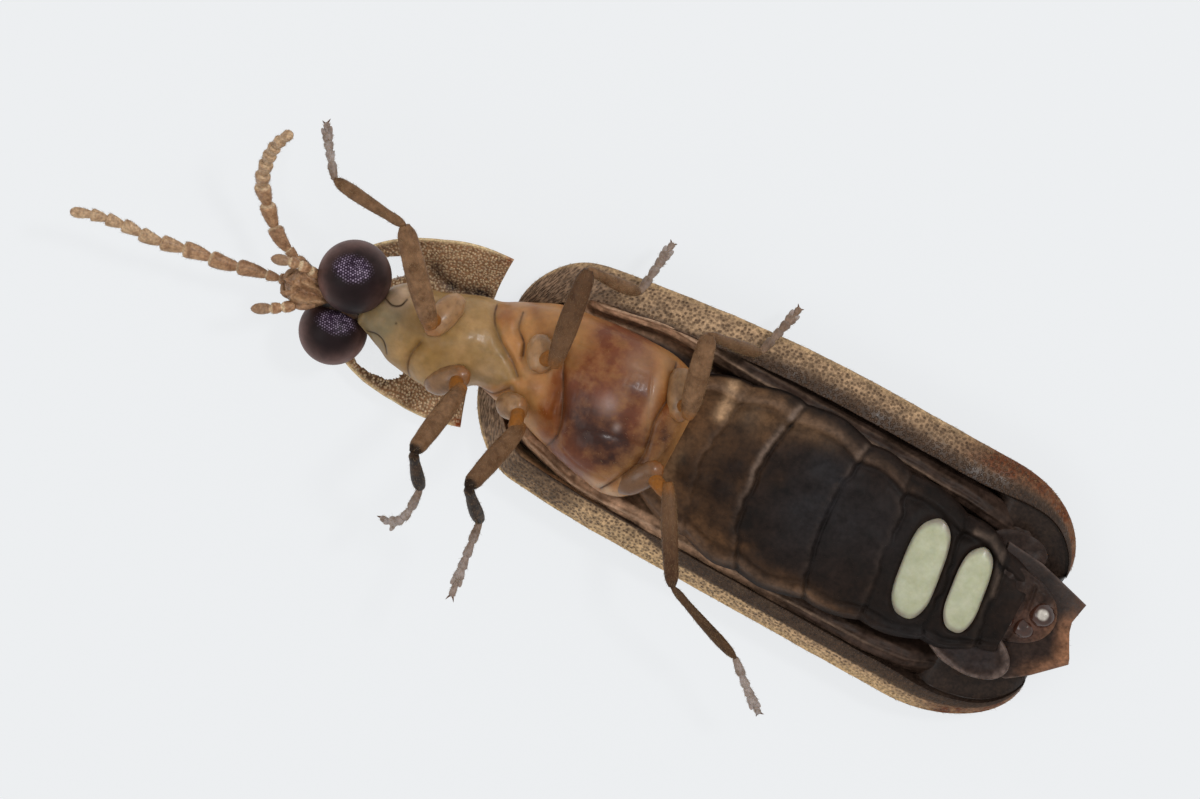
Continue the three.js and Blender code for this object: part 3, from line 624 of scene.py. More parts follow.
def joined(shapes):
    """Several closed shapes as one, each with its faces outward."""
    shapes = [outward(shape) for shape in shapes]
    starts = np.cumsum([0] + [len(shape.points) for shape in shapes])
    faces = [group + start for shape, start in zip(shapes, starts) for group in shape.faces]
    masks = {name: np.concatenate([shape.masks[name] for shape in shapes]) for name in shapes[0].masks}
    return Shape(np.concatenate([shape.points for shape in shapes]), faces, masks)


def piece(name, shape, material, nodes=(), uv=None):
    """A smooth mesh object of a shape, riding on the still body, in place of CAD nodes. Masks go on
    its points, and so does the mask called skin, which is the place on the skin in millimetres."""
    shape = outward(shape)
    mesh = bpy.data.meshes.new(name)
    faces = [face for group in shape.faces for face in group.tolist()]
    mesh.from_pydata((shape.points + BODY) * MM, [], faces)
    for mask, values in shape.masks.items():
        if mask == "skin":
            mesh.attributes.new(mask, "FLOAT_VECTOR", "POINT").data.foreach_set("vector", values.ravel())
        else:
            mesh.attributes.new(mask, "FLOAT", "POINT").data.foreach_set("value", np.clip(values, -1, 1))
    if uv is not None:
        corners = np.empty(len(mesh.loops), dtype=np.int32)
        mesh.loops.foreach_get("vertex_index", corners)
        mesh.uv_layers.new(name="OFBake").data.foreach_set("uv", uv[corners].astype(np.float32).ravel())
    mesh.shade_smooth()
    mesh.materials.append(material)
    thing = bpy.data.objects.new(name, mesh)
    bpy.context.scene.collection.objects.link(thing)
    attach(thing, "root")
    if nodes:
        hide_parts(*nodes)
    return thing


def along_path(points, count):
    """Evenly spaced points on a smooth line through a few, with their share of its length."""
    points = np.asarray(points, dtype=float)
    chords = np.concatenate(([0], np.cumsum(np.linalg.norm(np.diff(points, axis=0), axis=1))))
    fine = follow(chords, points, np.linspace(0, chords[-1], 900))
    steps = np.concatenate(([0], np.cumsum(np.linalg.norm(np.diff(fine, axis=0), axis=1))))
    share = np.linspace(0, 1, count)
    return np.stack([np.interp(share * steps[-1], steps, column) for column in fine.T], axis=1), share


def tube_rings(path, radii, sides, flat=1.0, up=(0.13, 0.21, 1.0)):
    """Rings square to a path, each an ellipse of the radius that is flattened along the upward side."""
    ways = unit(np.gradient(path, axis=0))
    side = unit(np.cross(np.asarray(up), ways))
    lift = np.cross(ways, side)
    angle = np.arange(sides) * 2 * np.pi / sides
    radii = np.asarray(radii)[:, None]
    across = (radii * np.cos(angle))[..., None] * side[:, None]
    above = (radii * np.sin(angle) * flat)[..., None] * lift[:, None]
    return path[:, None] + across + above


# Bristles

Roots = namedtuple("Roots", "points normals lie uv")


def scatter(rings, count, rng, keep=None, wrap=True, tile=(0.0, 1.0)):
    """Seeded places on a grid of points, by area: a place and normal in a cell, the lie towards the
    last row, and its place on the grid's own unwrap."""
    following = np.roll(rings, -1, axis=1) if wrap else rings[:, 1:]
    here = rings if wrap else rings[:, :-1]
    a, b, c, d = here[:-1], following[:-1], following[1:], here[1:]
    normal = np.cross(b + c - a - d, c + d - a - b)
    weight = np.linalg.norm(normal, axis=-1)
    if keep is not None:
        weight = weight * np.broadcast_to(keep, rings.shape[:2])[:-1, :weight.shape[1]]
    picks = rng.choice(weight.size, size=count, p=weight.ravel() / weight.sum())
    i, j = np.unravel_index(picks, weight.shape)
    u, v = rng.random((2, count, 1))
    spots = (a[i, j] * (1 - u) + d[i, j] * u) * (1 - v) + (b[i, j] * (1 - u) + c[i, j] * u) * v
    uv = np.concatenate(((i[:, None] + u) / (len(rings) - 1), (j[:, None] + v) / rings.shape[1]), axis=1)
    uv[:, 0] = tile[0] + (tile[1] - tile[0]) * uv[:, 0]
    middle = rings.mean(axis=1)[i]
    outside = np.sign(np.einsum("ij,ij->i", normal[i, j], spots - middle))[:, None]
    lie = unit((c + d - a - b)[i, j])
    return Roots(spots, unit(normal[i, j]) * outside, lie, uv)


def all_roots(groups):
    """Several groups of roots as one."""
    return Roots(*(np.concatenate(part) for part in zip(*groups)))


def bristles(name, roots, material, length, radius, slant, seed):
    """Fine bristles as one mesh: each has three roots, three middle points and a tip, starts at the
    slant from its skin and bends towards the lie."""
    rng = np.random.default_rng(seed)
    count = len(roots.points)
    long = length * rng.uniform(0.6, 1.25, (count, 1))
    stray = unit(roots.lie + 0.35 * rng.normal(size=(count, 3)))
    low = np.radians(slant) * rng.uniform(0.8, 1.2, (count, 1))
    first = unit(roots.normals * np.sin(low) + stray * np.cos(low))
    second = unit(roots.normals * np.sin(low * 0.4) + stray * np.cos(low * 0.4))
    side = unit(np.cross(first, roots.normals))
    back = np.cross(first, side)
    root = roots.points - roots.normals * radius
    middle = root + first * long * 0.5
    tip = middle + second * long * 0.5
    angle = np.arange(3) * 2 * np.pi / 3
    ring = (side[:, None] * np.cos(angle)[:, None] + back[:, None] * np.sin(angle)[:, None]) * radius
    points = np.concatenate((root[:, None] + ring, middle[:, None] + ring * 0.7, tip[:, None]), axis=1)
    start = np.arange(count)[:, None, None] * 7
    sides = np.array([(k, (k + 1) % 3, (k + 1) % 3 + 3, k + 3) for k in range(3)])
    ends = np.array([(k + 3, (k + 1) % 3 + 3, 6) for k in range(3)] + [(2, 1, 0)])
    faces = [(start + sides).reshape(-1, 4), (start + ends).reshape(-1, 3)]
    patch = 0.0015
    spread = np.array([(np.cos(a), np.sin(a)) for a in angle] * 2 + [(0, 0)]) * patch
    uv = np.clip(roots.uv, patch, 1 - patch)[:, None] + spread
    return piece(name, Shape(points.reshape(-1, 3), faces, {}), material, uv=uv.reshape(-1, 2))


# Finishes

def colour(hex_code):
    """sRGB hex to the linear colour of the shader: each part by the sRGB curve."""
    parts = np.array([int(hex_code[k:k + 2], 16) for k in (1, 3, 5)]) / 255
    return (*np.where(parts <= 0.04045, parts / 12.92, ((parts + 0.055) / 1.055) ** 2.4), 1.0)


def add_node(tree, kind, links=None, values=None, **settings):
    """Adds one node with its settings, the values of its inputs and the outputs linked to them."""
    node = tree.nodes.new(kind)
    for name, value in settings.items():
        setattr(node, name, value)
    for socket, value in (values or {}).items():
        node.inputs[socket].default_value = value
    for socket, source in (links or {}).items():
        tree.links.new(source, node.inputs[socket])
    return node


def cell_spots(tree, place, cells):
    """Round spots in irregular cells: 1 in the middle of each and 0 between them, and a second
    value that makes some of them stronger than others."""
    flat = cells.get("flat", False)
    if flat:
        place = add_node(tree, "ShaderNodeAttribute", attribute_name="skin").outputs["Vector"]
    pattern = add_node(tree, "ShaderNodeTexVoronoi", {"Vector": place},
                       {"Scale": 1 / cells["spacing"], "Randomness": 0.85},
                       voronoi_dimensions="2D" if flat else "3D")
    spot = add_node(tree, "ShaderNodeMapRange", {"Value": pattern.outputs["Distance"]},
                    {"From Min": cells["reach"][0], "From Max": cells["reach"][1], "To Min": 1.0,
                     "To Max": 0.0},
                    interpolation_type="SMOOTHSTEP").outputs["Result"]
    if cells.get("mask"):
        cover = add_node(tree, "ShaderNodeAttribute", attribute_name=cells["mask"]).outputs["Fac"]
        spot = add_node(tree, "ShaderNodeMath", {0: spot, 1: cover}, operation="MULTIPLY").outputs[0]
    strength = add_node(tree, "ShaderNodeMapRange", {"Value": pattern.outputs["Color"]},
                        {"To Min": cells.get("least", 0.5), "To Max": 1.0}).outputs["Result"]
    strong = add_node(tree, "ShaderNodeMath", {0: spot, 1: strength}, operation="MULTIPLY").outputs[0]
    return spot, strong


def cuticle(name, dark, light, mottle=0.3, layers=(), cells=None, wrinkle=(0.06, 0.002), rough=(0.3, 0.5),
            coat=0.0, flesh=0.0, flesh_depth=0.08, specular=0.25, see_through=0.0, grain=0.2):
    """Insect skin. Two colours are mixed by soft noise, layers of (mask, colour) are laid over them
    with edges that the noise breaks up, cells are pits or grains, and wrinkle is (width, depth) of
    the finest unevenness, which also lightens and darkens the paint by grain. Sizes are in
    millimetres."""
    material = bpy.data.materials.new(name)
    material.use_nodes = True
    tree = material.node_tree
    shader = tree.nodes["Principled BSDF"]
    place = add_node(tree, "ShaderNodeTexCoord").outputs["Object"]
    place = add_node(tree, "ShaderNodeMapping", {"Vector": place}, {"Scale": (1000, 1000, 1000)}).outputs[0]
    noise = add_node(tree, "ShaderNodeTexNoise", {"Vector": place},
                     {"Scale": 1 / mottle, "Detail": 5.0, "Roughness": 0.62}).outputs["Fac"]
    tone = add_node(tree, "ShaderNodeMapRange", {"Value": noise},
                    {"From Min": 0.32, "From Max": 0.68}).outputs["Result"]
    broken = add_node(tree, "ShaderNodeMapRange", {"Value": noise},
                      {"From Min": 0.34, "From Max": 0.66, "To Min": 0.55, "To Max": 1.4}).outputs["Result"]
    paint = add_node(tree, "ShaderNodeMix", {"Factor": tone}, {"A": colour(dark), "B": colour(light)},
                     data_type="RGBA").outputs["Result"]
    for mask, tint in layers:
        cover = add_node(tree, "ShaderNodeAttribute", attribute_name=mask).outputs["Fac"]
        cover = add_node(tree, "ShaderNodeMath", {0: broken, 1: cover}, operation="MULTIPLY",
                         use_clamp=True).outputs[0]
        paint = add_node(tree, "ShaderNodeMix", {"Factor": cover, "A": paint}, {"B": colour(tint)},
                         data_type="RGBA").outputs["Result"]
    fine = add_node(tree, "ShaderNodeTexNoise", {"Vector": place},
                    {"Scale": 1 / wrinkle[0], "Detail": 3.0, "Roughness": 0.55}).outputs["Fac"]
    bump = add_node(tree, "ShaderNodeBump", {"Height": fine},
                    {"Strength": 1.0, "Distance": wrinkle[1] * MM}).outputs[0]
    if cells:
        spot, strong = cell_spots(tree, place, cells)
        paint = add_node(tree, "ShaderNodeMix", {"Factor": strong, "A": paint},
                         {"B": colour(cells["tint"])}, data_type="RGBA").outputs["Result"]
        bump = add_node(tree, "ShaderNodeBump", {"Height": spot, "Normal": bump},
                        {"Strength": 1.0, "Distance": abs(cells["relief"]) * MM},
                        invert=cells["relief"] < 0).outputs[0]
    shade = add_node(tree, "ShaderNodeMapRange", {"Value": fine},
                     {"From Min": 0.3, "From Max": 0.7, "To Min": 1 - grain,
                      "To Max": 1 + grain}).outputs["Result"]
    paint = add_node(tree, "ShaderNodeMix", {"A": paint, "B": shade}, {"Factor": 1.0}, data_type="RGBA",
                     blend_type="MULTIPLY").outputs["Result"]
    dull = add_node(tree, "ShaderNodeMapRange", {"Value": fine},
                    {"From Min": 0.3, "From Max": 0.7, "To Min": rough[0],
                     "To Max": rough[1]}).outputs["Result"]
    tree.links.new(paint, shader.inputs["Base Color"])
    tree.links.new(dull, shader.inputs["Roughness"])
    tree.links.new(bump, shader.inputs["Normal"])
    fixed = {"IOR": HORN_IOR, "Coat Weight": coat, "Coat Roughness": 0.14, "Subsurface Weight": flesh,
             "Subsurface Scale": flesh_depth * MM, "Subsurface Radius": (1.0, 0.55, 0.25),
             "Alpha": 1 - see_through, "Specular IOR Level": specular}
    for socket, value in fixed.items():
        shader.inputs[socket].default_value = value
    return material


# Brown horn of the neck shield under packed golden grains, with a thin pale rim, a painted glow of light
# through its thin edge, and painted shade (hollow) in its dents
SHIELD_HORN = cuticle("grained_shield_horn", "#856144", "#a8815f", mottle=0.2,
                      layers=(("hollow", "#2c1b13"), ("rim", "#cdb48a"), ("corner", "#8e4a28")),
                      cells={"spacing": 0.038, "reach": (0.16, 0.56), "relief": 0.008, "tint": "#dfc5a0",
                             "mask": "grained", "flat": True, "least": 0.3},
                      wrinkle=(0.03, 0.002), rough=(0.3, 0.5), flesh=0.12, specular=0.2, grain=0.35)
# Clear, thin, colourless horn of the shield's two windows
WINDOW_HORN = cuticle("clear_window_horn", "#f4f3ee", "#ffffff", mottle=0.25, wrinkle=(0.1, 0.0006),
                      rough=(0.05, 0.1), see_through=0.98)
# Thin leathery horn of the wing cases: dark grey brown with fine grain outside, brown and shiny
# inside, tan with dark pits along the turned-in edge. Painted shade darkens that edge towards the tip
# and beside the wall, and painted light makes the shaded shoulder and the front of the inside paler.
WING_CASE_HORN = cuticle("pitted_wing_case_horn", "#35281e", "#50392b", mottle=0.22,
                         layers=(("inside", "#2a1f19"), ("shoulder", "#8c715a"), ("tan", "#b0906f"),
                                 ("shine", "#3e2f24"), ("gold", "#c2a277"), ("rust", "#5c3219"),
                                 ("painted_shade", "#2d211a")),
                         cells={"spacing": 0.052, "reach": (0.12, 0.5), "relief": -0.012, "tint": "#4a3525",
                                "mask": "pitted", "flat": True, "least": 0.3},
                         wrinkle=(0.045, 0.003), rough=(0.3, 0.5), coat=0.02, specular=0.16, grain=0.4)
# Smoky, folded, elastic skin of the hind wings; its brown front is painted paler than its own colour, as
# painted light in the shaded folds
FOLDED_FILM = cuticle("smoky_wing_film", "#2a1e17", "#42322a", mottle=0.25,
                      layers=(("brown", "#c09778"), ("vein", "#a88a72")),
                      wrinkle=(0.07, 0.004), rough=(0.42, 0.6), specular=0.12, grain=0.35)
# Waxy, half see-through skin of the neck and breast: dull cream in front, amber behind, with a painted
# highlight (shine) on the chest and a pale patch beside the eye that is partly painted light
BREAST_SKIN = cuticle("cream_and_amber_skin", "#8a6c40", "#ab875a", mottle=0.32,
                      layers=(("olive", "#7c6c4f"), ("honey", "#83602a"), ("amber", "#b07c49"),
                              ("pink", "#703c23"), ("orange", "#7a3d02"), ("wine", "#35190f"),
                              ("lobe", "#9c6f50"), ("pale", "#b8997b"), ("shine", "#b39c92"),
                              ("crease", "#4c2c14"), ("ink", "#38240f")),
                      wrinkle=(0.12, 0.0015), rough=(0.34, 0.5), coat=0.06, flesh=0.3, flesh_depth=0.1,
                      specular=0.2, grain=0.11)
# Satin brown black plates of the belly, brown in front and along their edges, with painted shade (frame) in
# the grooves and side folds and a painted bluish sheen (blue)
BELLY_HORN = cuticle("satin_belly_horn", "#120c09", "#261a14", mottle=0.3,
                     layers=(("brown", "#5c4029"), ("cloud", "#241913"), ("tan", "#b08d6b"),
                             ("edge", "#6d5b4f"), ("frame", "#120d0a"), ("blue", "#232021")),
                     wrinkle=(0.07, 0.0015), rough=(0.5, 0.66), specular=0.1, grain=0.3)
# Pale green white, waxy light organ under clear horn, greyer along its edge
LIGHT_ORGAN = cuticle("waxy_light_organ", "#a5a788", "#b9baa0", mottle=0.22,
                      layers=(("border", "#857d6e"),), wrinkle=(0.06, 0.0015), rough=(0.34, 0.48),
                      coat=0.1, flesh=0.35, grain=0.04)
# Thin tail plates, orange brown where light comes through their edge
TAIL_HORN = cuticle("amber_tail_horn", "#261b17", "#362923", mottle=0.2,
                    layers=(("glow", "#96694c"), ("bump", "#5c4136"), ("blue", "#2e2828"),
                            ("rim", "#675750")),
                    wrinkle=(0.06, 0.003), rough=(0.34, 0.5), flesh=0.08, specular=0.1, grain=0.35)
# Glossy dark brown knobs on the last plate, the largest with a painted highlight, a pale spot on the side
# that faces the camera
KNOB_HORN = cuticle("glossy_knob_horn", "#2e1a13", "#45291e", mottle=0.2, layers=(("pale", "#cfc8bd"),),
                    wrinkle=(0.05, 0.0004), rough=(0.14, 0.18), specular=0.5, grain=0.1)
# Satin, hairy skin of the legs: brown thighs, brown to black brown shins and pale grey feet
LEG_HORN = cuticle("satin_leg_horn", "#5c4029", "#8a684b", mottle=0.16,
                   layers=(("brown", "#432b1a"), ("shin", "#211409"), ("toe", "#9c908a"),
                           ("amber", "#8c5620")),
                   wrinkle=(0.045, 0.004), rough=(0.46, 0.6), flesh=0.1, specular=0.12, grain=0.18)
# Thin glassy horn of the hips: amber brown and wet looking, with the cream body showing through
HIP_HORN = cuticle("glassy_hip_horn", "#63452d", "#7f5c3b", mottle=0.12,
                   layers=(("hip", "#9c7650"), ("brown", "#5c3c25"), ("amber", "#8a5220")),
                   wrinkle=(0.09, 0.002), rough=(0.28, 0.4), coat=0.1, flesh=0.3, specular=0.3, grain=0.14)
# Grained brown horn of the feelers and palps with pale joint skins
FEELER_HORN = cuticle("grained_feeler_horn", "#7d573b", "#b48c69", mottle=0.08,
                      layers=(("pale", "#cdb492"), ("root", "#5a4130"), ("grey", "#8c715a")),
                      wrinkle=(0.03, 0.004), rough=(0.36, 0.55), flesh=0.12, grain=0.3)
# Rough brown horn of the face and mouth
FACE_HORN = cuticle("grained_face_horn", "#6b4830", "#ac8362", mottle=0.13,
                    layers=(("dark", "#130d0b"), ("ridge", "#a8835f")),
                    wrinkle=(0.035, 0.003), rough=(0.28, 0.48), coat=0.08, grain=0.25)
# Glossy facets over dark purple brown pigment, with a painted violet sheen, painted glints on the facets and
# a painted pale reflection round the rim (limb)
EYE_GLASS = cuticle("faceted_eye_glass", "#170d0e", "#201315", mottle=0.3,
                    layers=(("limb", "#6b4f49"), ("painted_sheen", "#2b1b30"), ("painted_glint", "#b9a5bf")),
                    wrinkle=(0.2, 0.0002), rough=(0.42, 0.5), specular=0.12, grain=0.0)
# Dark horn of the claws
CLAW_HORN = cuticle("dark_claw_horn", "#3a2419", "#6b452c", mottle=0.05, wrinkle=(0.02, 0.001),
                    rough=(0.2, 0.35))
# Golden brown hairs of the wing cases, shield, breast, face and limbs
HAIR = cuticle("golden_hair", "#7d6244", "#a68a64", mottle=0.1, wrinkle=(0.02, 0.0005), rough=(0.4, 0.5))
# Dark brown hairs of the belly and tail
DARK_HAIR = cuticle("dark_hair", "#2b1f18", "#453428", mottle=0.1, wrinkle=(0.02, 0.0005), rough=(0.4, 0.5))


# Wing cases

def wing_case_edges(part, side):
    """Outer and inner edge across, from 0 at the shoulder to 1 at the tip. The outer edge swells
    from the shoulder, and both run to the apex on quarter ellipses."""
    shoulder = (1 - (1 - np.clip(part / 0.13, 0, 1)) ** 2.3) ** 0.55
    grown = np.sin(np.pi / 2 * np.clip(part / TAPER_END[side], 0, 1))
    full = WING_HALF_WIDTH[side] * (0.3 + 0.7 * shoulder) * (1 - SHOULDER_TAPER[side] * (1 - grown))
    to_tip = WING_LENGTH[side] * (1 - part)
    outer_arc = np.sqrt(1 - (1 - np.clip(to_tip / OUTER_REACH, 0, 1)) ** 2)
    inner_arc = np.sqrt(1 - (1 - np.clip(to_tip / INNER_REACH, 0, 1)) ** 2)
    return full * (APEX + (1 - APEX) * outer_arc), SEAM + (full * APEX - SEAM) * (1 - inner_arc)


def case_rise(share):
    """How far the floor side has risen to the margin: flat near the seam, steep at the margin."""
    return np.clip((share - 0.25) / 0.75, 0, 1) ** 3.4


def wing_case_loop(part, side):
    """Part of the length, width and height along one closed ring at each part of the length: floor
    side from the seam outwards, a round margin, the turned-in edge, the wall behind it and the
    inside back to the seam."""
    outer, inner = wing_case_edges(part, side)
    width = outer - inner
    full = smooth((part - 0.03) / 0.1)
    low = 1 - 0.6 * smooth((part - 0.8) / 0.2)
    tip_lift = TIP_RISE * np.clip((part - 0.8) / 0.2, 0, 1) ** 2
    rim = tip_lift + MARGIN_HEIGHT * (0.5 + (low - 0.5) * full)
    lift = tip_lift + SHOULDER_RISE * np.clip((0.12 - part) / 0.12, 0, 1) ** 2
    at_shoulder = FOLD_SHOULDER[side]
    fold = np.minimum(FOLD_WIDTH[side] * (at_shoulder + (low - at_shoulder) * full), 0.62 * width)
    fold_top = rim + FOLD_RISE * (0.4 + (low - 0.4) * full)
    bead = np.minimum(MARGIN_RADIUS, 0.2 * width)

    share = np.linspace(0, 1, CASE_COLUMNS["floor"])[None]
    ribs = np.clip(sum(np.exp(-((share - place) / RIB_WIDTH) ** 2) for place in RIB_SHARES), 0, 1)
    hollow = RIB_DEPTH * (1 - ribs) * smooth(share / 0.05) * (1 - smooth((share - 0.7) / 0.2))
    floor_side = stack(part, inner + width * share, lift + (rim - lift) * case_rise(share) + hollow)

    angle = np.radians(np.linspace(-40, 80, CASE_COLUMNS["margin"]))[None]
    margin = stack(part, outer - bead + bead * np.cos(angle), rim + bead * np.sin(angle))

    k = np.linspace(0, 1, CASE_COLUMNS["band"])[None]
    band_height = rim + bead + (fold_top - rim - bead) * k ** 0.85 + 0.05 * fold * np.sin(np.pi * k)
    band = stack(part, outer - bead - (fold - bead) * k, band_height)

    share = (outer - 1.09 * fold - inner) / width * np.linspace(1, 0, CASE_COLUMNS["inside"])[None]
    height = lift + SHELL + (rim - lift) * case_rise(share)
    height = height + (fold_top - 0.1 - height) * smooth((part - 0.78) / 0.1) * smooth((share - 0.1) / 0.4)
    inside = stack(part, inner + width * share, height)

    k = np.linspace(0.04, 0.96, CASE_COLUMNS["wall"])[None]
    wall = stack(part, outer - fold - 0.09 * fold * smooth(k) - 0.02 * np.sin(np.pi * k),
                 fold_top + (height[:, :1] - fold_top) * k)
    return np.concatenate((floor_side, margin, band, wall, inside), axis=1)


def wing_case_zones():
    """How far across the turned-in band each point of a ring is, from 0 at the margin to 1 at the
    wall, and which points lie on the band and on the inside."""
    start = CASE_COLUMNS["floor"] + CASE_COLUMNS["margin"]
    end = start + CASE_COLUMNS["band"]
    across, on_band, on_inside = np.zeros((3, 1, sum(CASE_COLUMNS.values())))
    across[0, start:end] = np.linspace(0, 1, end - start)
    on_band[0, start - CASE_COLUMNS["margin"] + 1:end] = 1
    on_inside[0, end:] = 1
    return across, on_band, on_inside


def wing_case_masks(part, side):
    """How much of each paint a point of the wing case gets: soft steps along the part of its length
    times soft steps across the band."""
    across, on_band, on_inside = wing_case_zones()
    left = side == "left"
    shoulder = 1 - smooth((part - 0.09) / (0.09 if left else 0.05))
    rear = smooth((part - 0.4) / 0.45)
    tip = smooth((part - 0.84) / 0.12)
    edge = np.exp(-(across / (0.05 + (0 if left else 0.28 * rear))) ** 2) * on_band
    if left:
        back = smooth((part - 0.26) / 0.2)
        strip = 1 - smooth((across - 0.75 + 0.6 * back) / (0.25 + 0.5 * back))
        tan = 0.78 * on_band * strip * (1 - 0.35 * rear)
        shine = on_band * 0.9 * smooth((across - 0.35) / 0.5) * back
        gold = 0.4 * edge
    else:
        strip = 1 - smooth((across - 0.88 + 0.46 * smooth((part - 0.32) / 0.12)) / 0.12)
        grown = 0.15 + 0.85 * smooth((part - 0.2) / 0.08)
        tan = 1.2 * on_band * np.maximum(strip, 0.35 * (1 - rear)) * (1 - 0.2 * rear) * grown
        # Painted light: tan on the front of the right case's inside, which lies in shade
        tan = tan + 0.9 * on_inside * (1 - smooth((part - 0.2) / 0.1))
        shine = on_band * (1 - strip)
        gold = 0.95 * np.maximum(edge, (0.8 - 0.65 * across) * on_band * strip * (1 - rear) * grown)
    rust = smooth((part - RUST_START[side]) / 0.08) * (1 - smooth((across - 0.35) / 0.3))
    # Painted shade on the band towards the tip and, behind the middle, beside the wall
    painted_shade = np.maximum(0.6 * smooth((part - SHADE_START[side]) / 0.12) * smooth((across - 0.3) / 0.3),
                      0.8 * rear * smooth((across - 0.8) / 0.2))
    pitted = on_band * (1 - 0.5 * edge) * (1 - 0.8 * tip) + 0.35 * (1 - on_inside - on_band)
    return {
        # At the shoulder the inside is painted less dark, and the shoulder paint is paler than its own
        # brownish grey: painted light in the shaded cavity
        "inside": on_inside * (1 - 0.6 * shoulder),
        "shoulder": shoulder * np.maximum(on_band * 0.9, on_inside * 0.6),
        "tan": tan * (1 - shoulder),
        "shine": shine * (1 - shoulder),
        "gold": gold * (1 - 0.2 * tip),
        "rust": 0.9 * on_band * rust,
        "painted_shade": on_band * painted_shade,
        "pitted": np.clip(pitted + 0.8 * shoulder * on_inside, 0, 1),
    }


def wing_case(side):
    """A closed skin over the rings, with its place on the skin for the pits, and short hairs."""
    t = np.linspace(0, 1, CASE_ROWS)[:, None]
    part = np.clip(t - 0.7 * np.sin(2 * np.pi * t) / (2 * np.pi), 0, 0.9995)
    loop = wing_case_loop(part, side)
    loop[..., 0] = WING_FRONT - WING_LENGTH[side] * loop[..., 0]
    loop[..., 2] += 0.007 * uneven(loop, 0.5, 3) * smooth((loop[..., 2] - 0.1) / 0.3)
    around = np.cumsum(np.linalg.norm(np.diff(loop, axis=1, prepend=loop[:, :1]), axis=-1), axis=1)
    masks = {**wing_case_masks(part, side), "skin": stack(loop[..., 0], around, 0)}
    loop[..., 1] *= SIGNS[side]
    rings = turned(loop, WING_TURN)
    piece(f"wing_case_shell_{side}", closed_rings(rings, masks), WING_CASE_HORN,
          (f"wing_case_{side}",))

    across, on_band, on_inside = wing_case_zones()
    rng = np.random.default_rng(11)
    outside_roots = scatter(rings, 4500, rng, keep=1 - on_inside - on_band + 0.01)
    margin_roots = scatter(rings, 1000, rng, keep=on_band * np.exp(-(across / 0.2) ** 2) + 1e-6)
    bristles(f"wing_case_hair_{side}", all_roots((outside_roots, margin_roots)), HAIR,
             length=0.04, radius=0.0018, slant=20, seed=5)


def folded_wing(side):
    """A folded hind wing: flat pleats across from the seam that rise, beside the belly, to a broad
    rounded fold with sharp, slowly bending creases, which meets the wing case's wall."""
    rows, columns = 190, 110
    t = np.linspace(0, 1, rows)[:, None]
    share = np.linspace(0, 1, columns)[None]
    reach = FILM_REACH[side] * (0.8 + 0.2 * smooth(t / 0.2))
    reach = reach * np.sqrt(1 - 0.75 * np.clip((t - 0.76) / 0.24, 0, 1) ** 2.2)
    drift = 0.02 * np.sin(5 * t + 1) + 0.01 * np.sin(13 * t)
    pleats = 0.03 * np.sin(2 * np.pi * (share * 5 + 0.5 * np.sin(t * 5))) * (1 - smooth((share - 0.6) / 0.1))
    broad = FILM_RISE * smooth((share - 0.66 - drift) / 0.16) * np.sqrt(np.clip((1.01 - share) / 0.12, 0, 1))
    creases = sum(depth * np.exp(-np.abs(share - place - drift) / width) for place, depth, width in CREASES)
    raised = (broad + creases * np.clip(broad / FILM_RISE, 0, 1)) * smooth(t / 0.06)
    raised = raised * (1 - 0.35 * smooth((t - 0.75) / 0.25)) * (1 - 0.75 * smooth((t - 0.84) / 0.08))
    sheet = stack(FILM_FRONT - FILM_LENGTH * t, SIGNS[side] * (0.05 + reach * share),
                  FILM_HEIGHT + pleats + raised)
    sheet[..., 2] += (0.015 * uneven(sheet, 0.4, 8)
                      + 0.008 * uneven(sheet, 0.12, 9) * smooth((share - 0.6) / 0.2))
    sheet = turned(sheet, WING_TURN)

    behind = 0.5 * smooth((t - 0.2) / 0.4) + 0.45 * smooth((t - 0.66) / 0.2)
    brown = smooth((share - 0.6) / 0.1)
    # The brown front, painted paler than its own colour as painted light in the shaded folds, most of all on
    # the left
    if side == "left":
        brown = 1.3 * brown * (1 - smooth((t - 0.08) / 0.26))
    else:
        brown = 0.72 * brown * (1 - smooth((t - 0.36) / 0.3)) * (1 - smooth((share - 0.92) / 0.05))
    masks = {"vein": 0.8 * np.clip(creases / 0.05, 0, 1) ** 2 * (1 - behind), "brown": brown}
    shape = two_walled(sheet.reshape(-1, 3), grid_quads(rows, columns, False), FILM_WALL,
                       point_masks(masks, rows, columns))
    piece(f"folded_wing_{side}", shape, FOLDED_FILM, (f"hind_wing_{side}",))


def scutellum():
    """The small three-cornered plate between the wing case roots: half-width falls from front to
    rear, and the plate bulges towards the floor."""
    count = 24
    t = np.linspace(0, 1, count)[:, None]
    share = np.linspace(-1, 1, count)[None]
    bulge = SCUTELLUM_BULGE * (1 - share ** 2) * np.sin(np.pi * (0.2 + 0.8 * t))
    sheet = stack(SCUTELLUM_FRONT - SCUTELLUM_LENGTH * t, SCUTELLUM_HALF_WIDTH * (1 - t ** 1.3) * share,
                  SCUTELLUM_HEIGHT - bulge).reshape(-1, 3)
    masks = {"pitted": 0.4, "skin": sheet}
    shape = two_walled(turned(sheet, WING_TURN), grid_quads(count, count, False), SCUTELLUM_WALL, masks)
    piece("scutellum_plate", shape, WING_CASE_HORN, ("scutellum",))


# Neck shield

def shield_half_width(p):
    """Half the shield's width at p: a superellipse towards the front, a little narrower behind."""
    return (SHIELD_HALF_WIDTH * np.sqrt(1 - np.clip(p / SHIELD_LENGTH, 0, 1) ** 2.6)
            * (0.965 + 0.035 * np.sin(np.minimum(p, 0.9) * 3)))


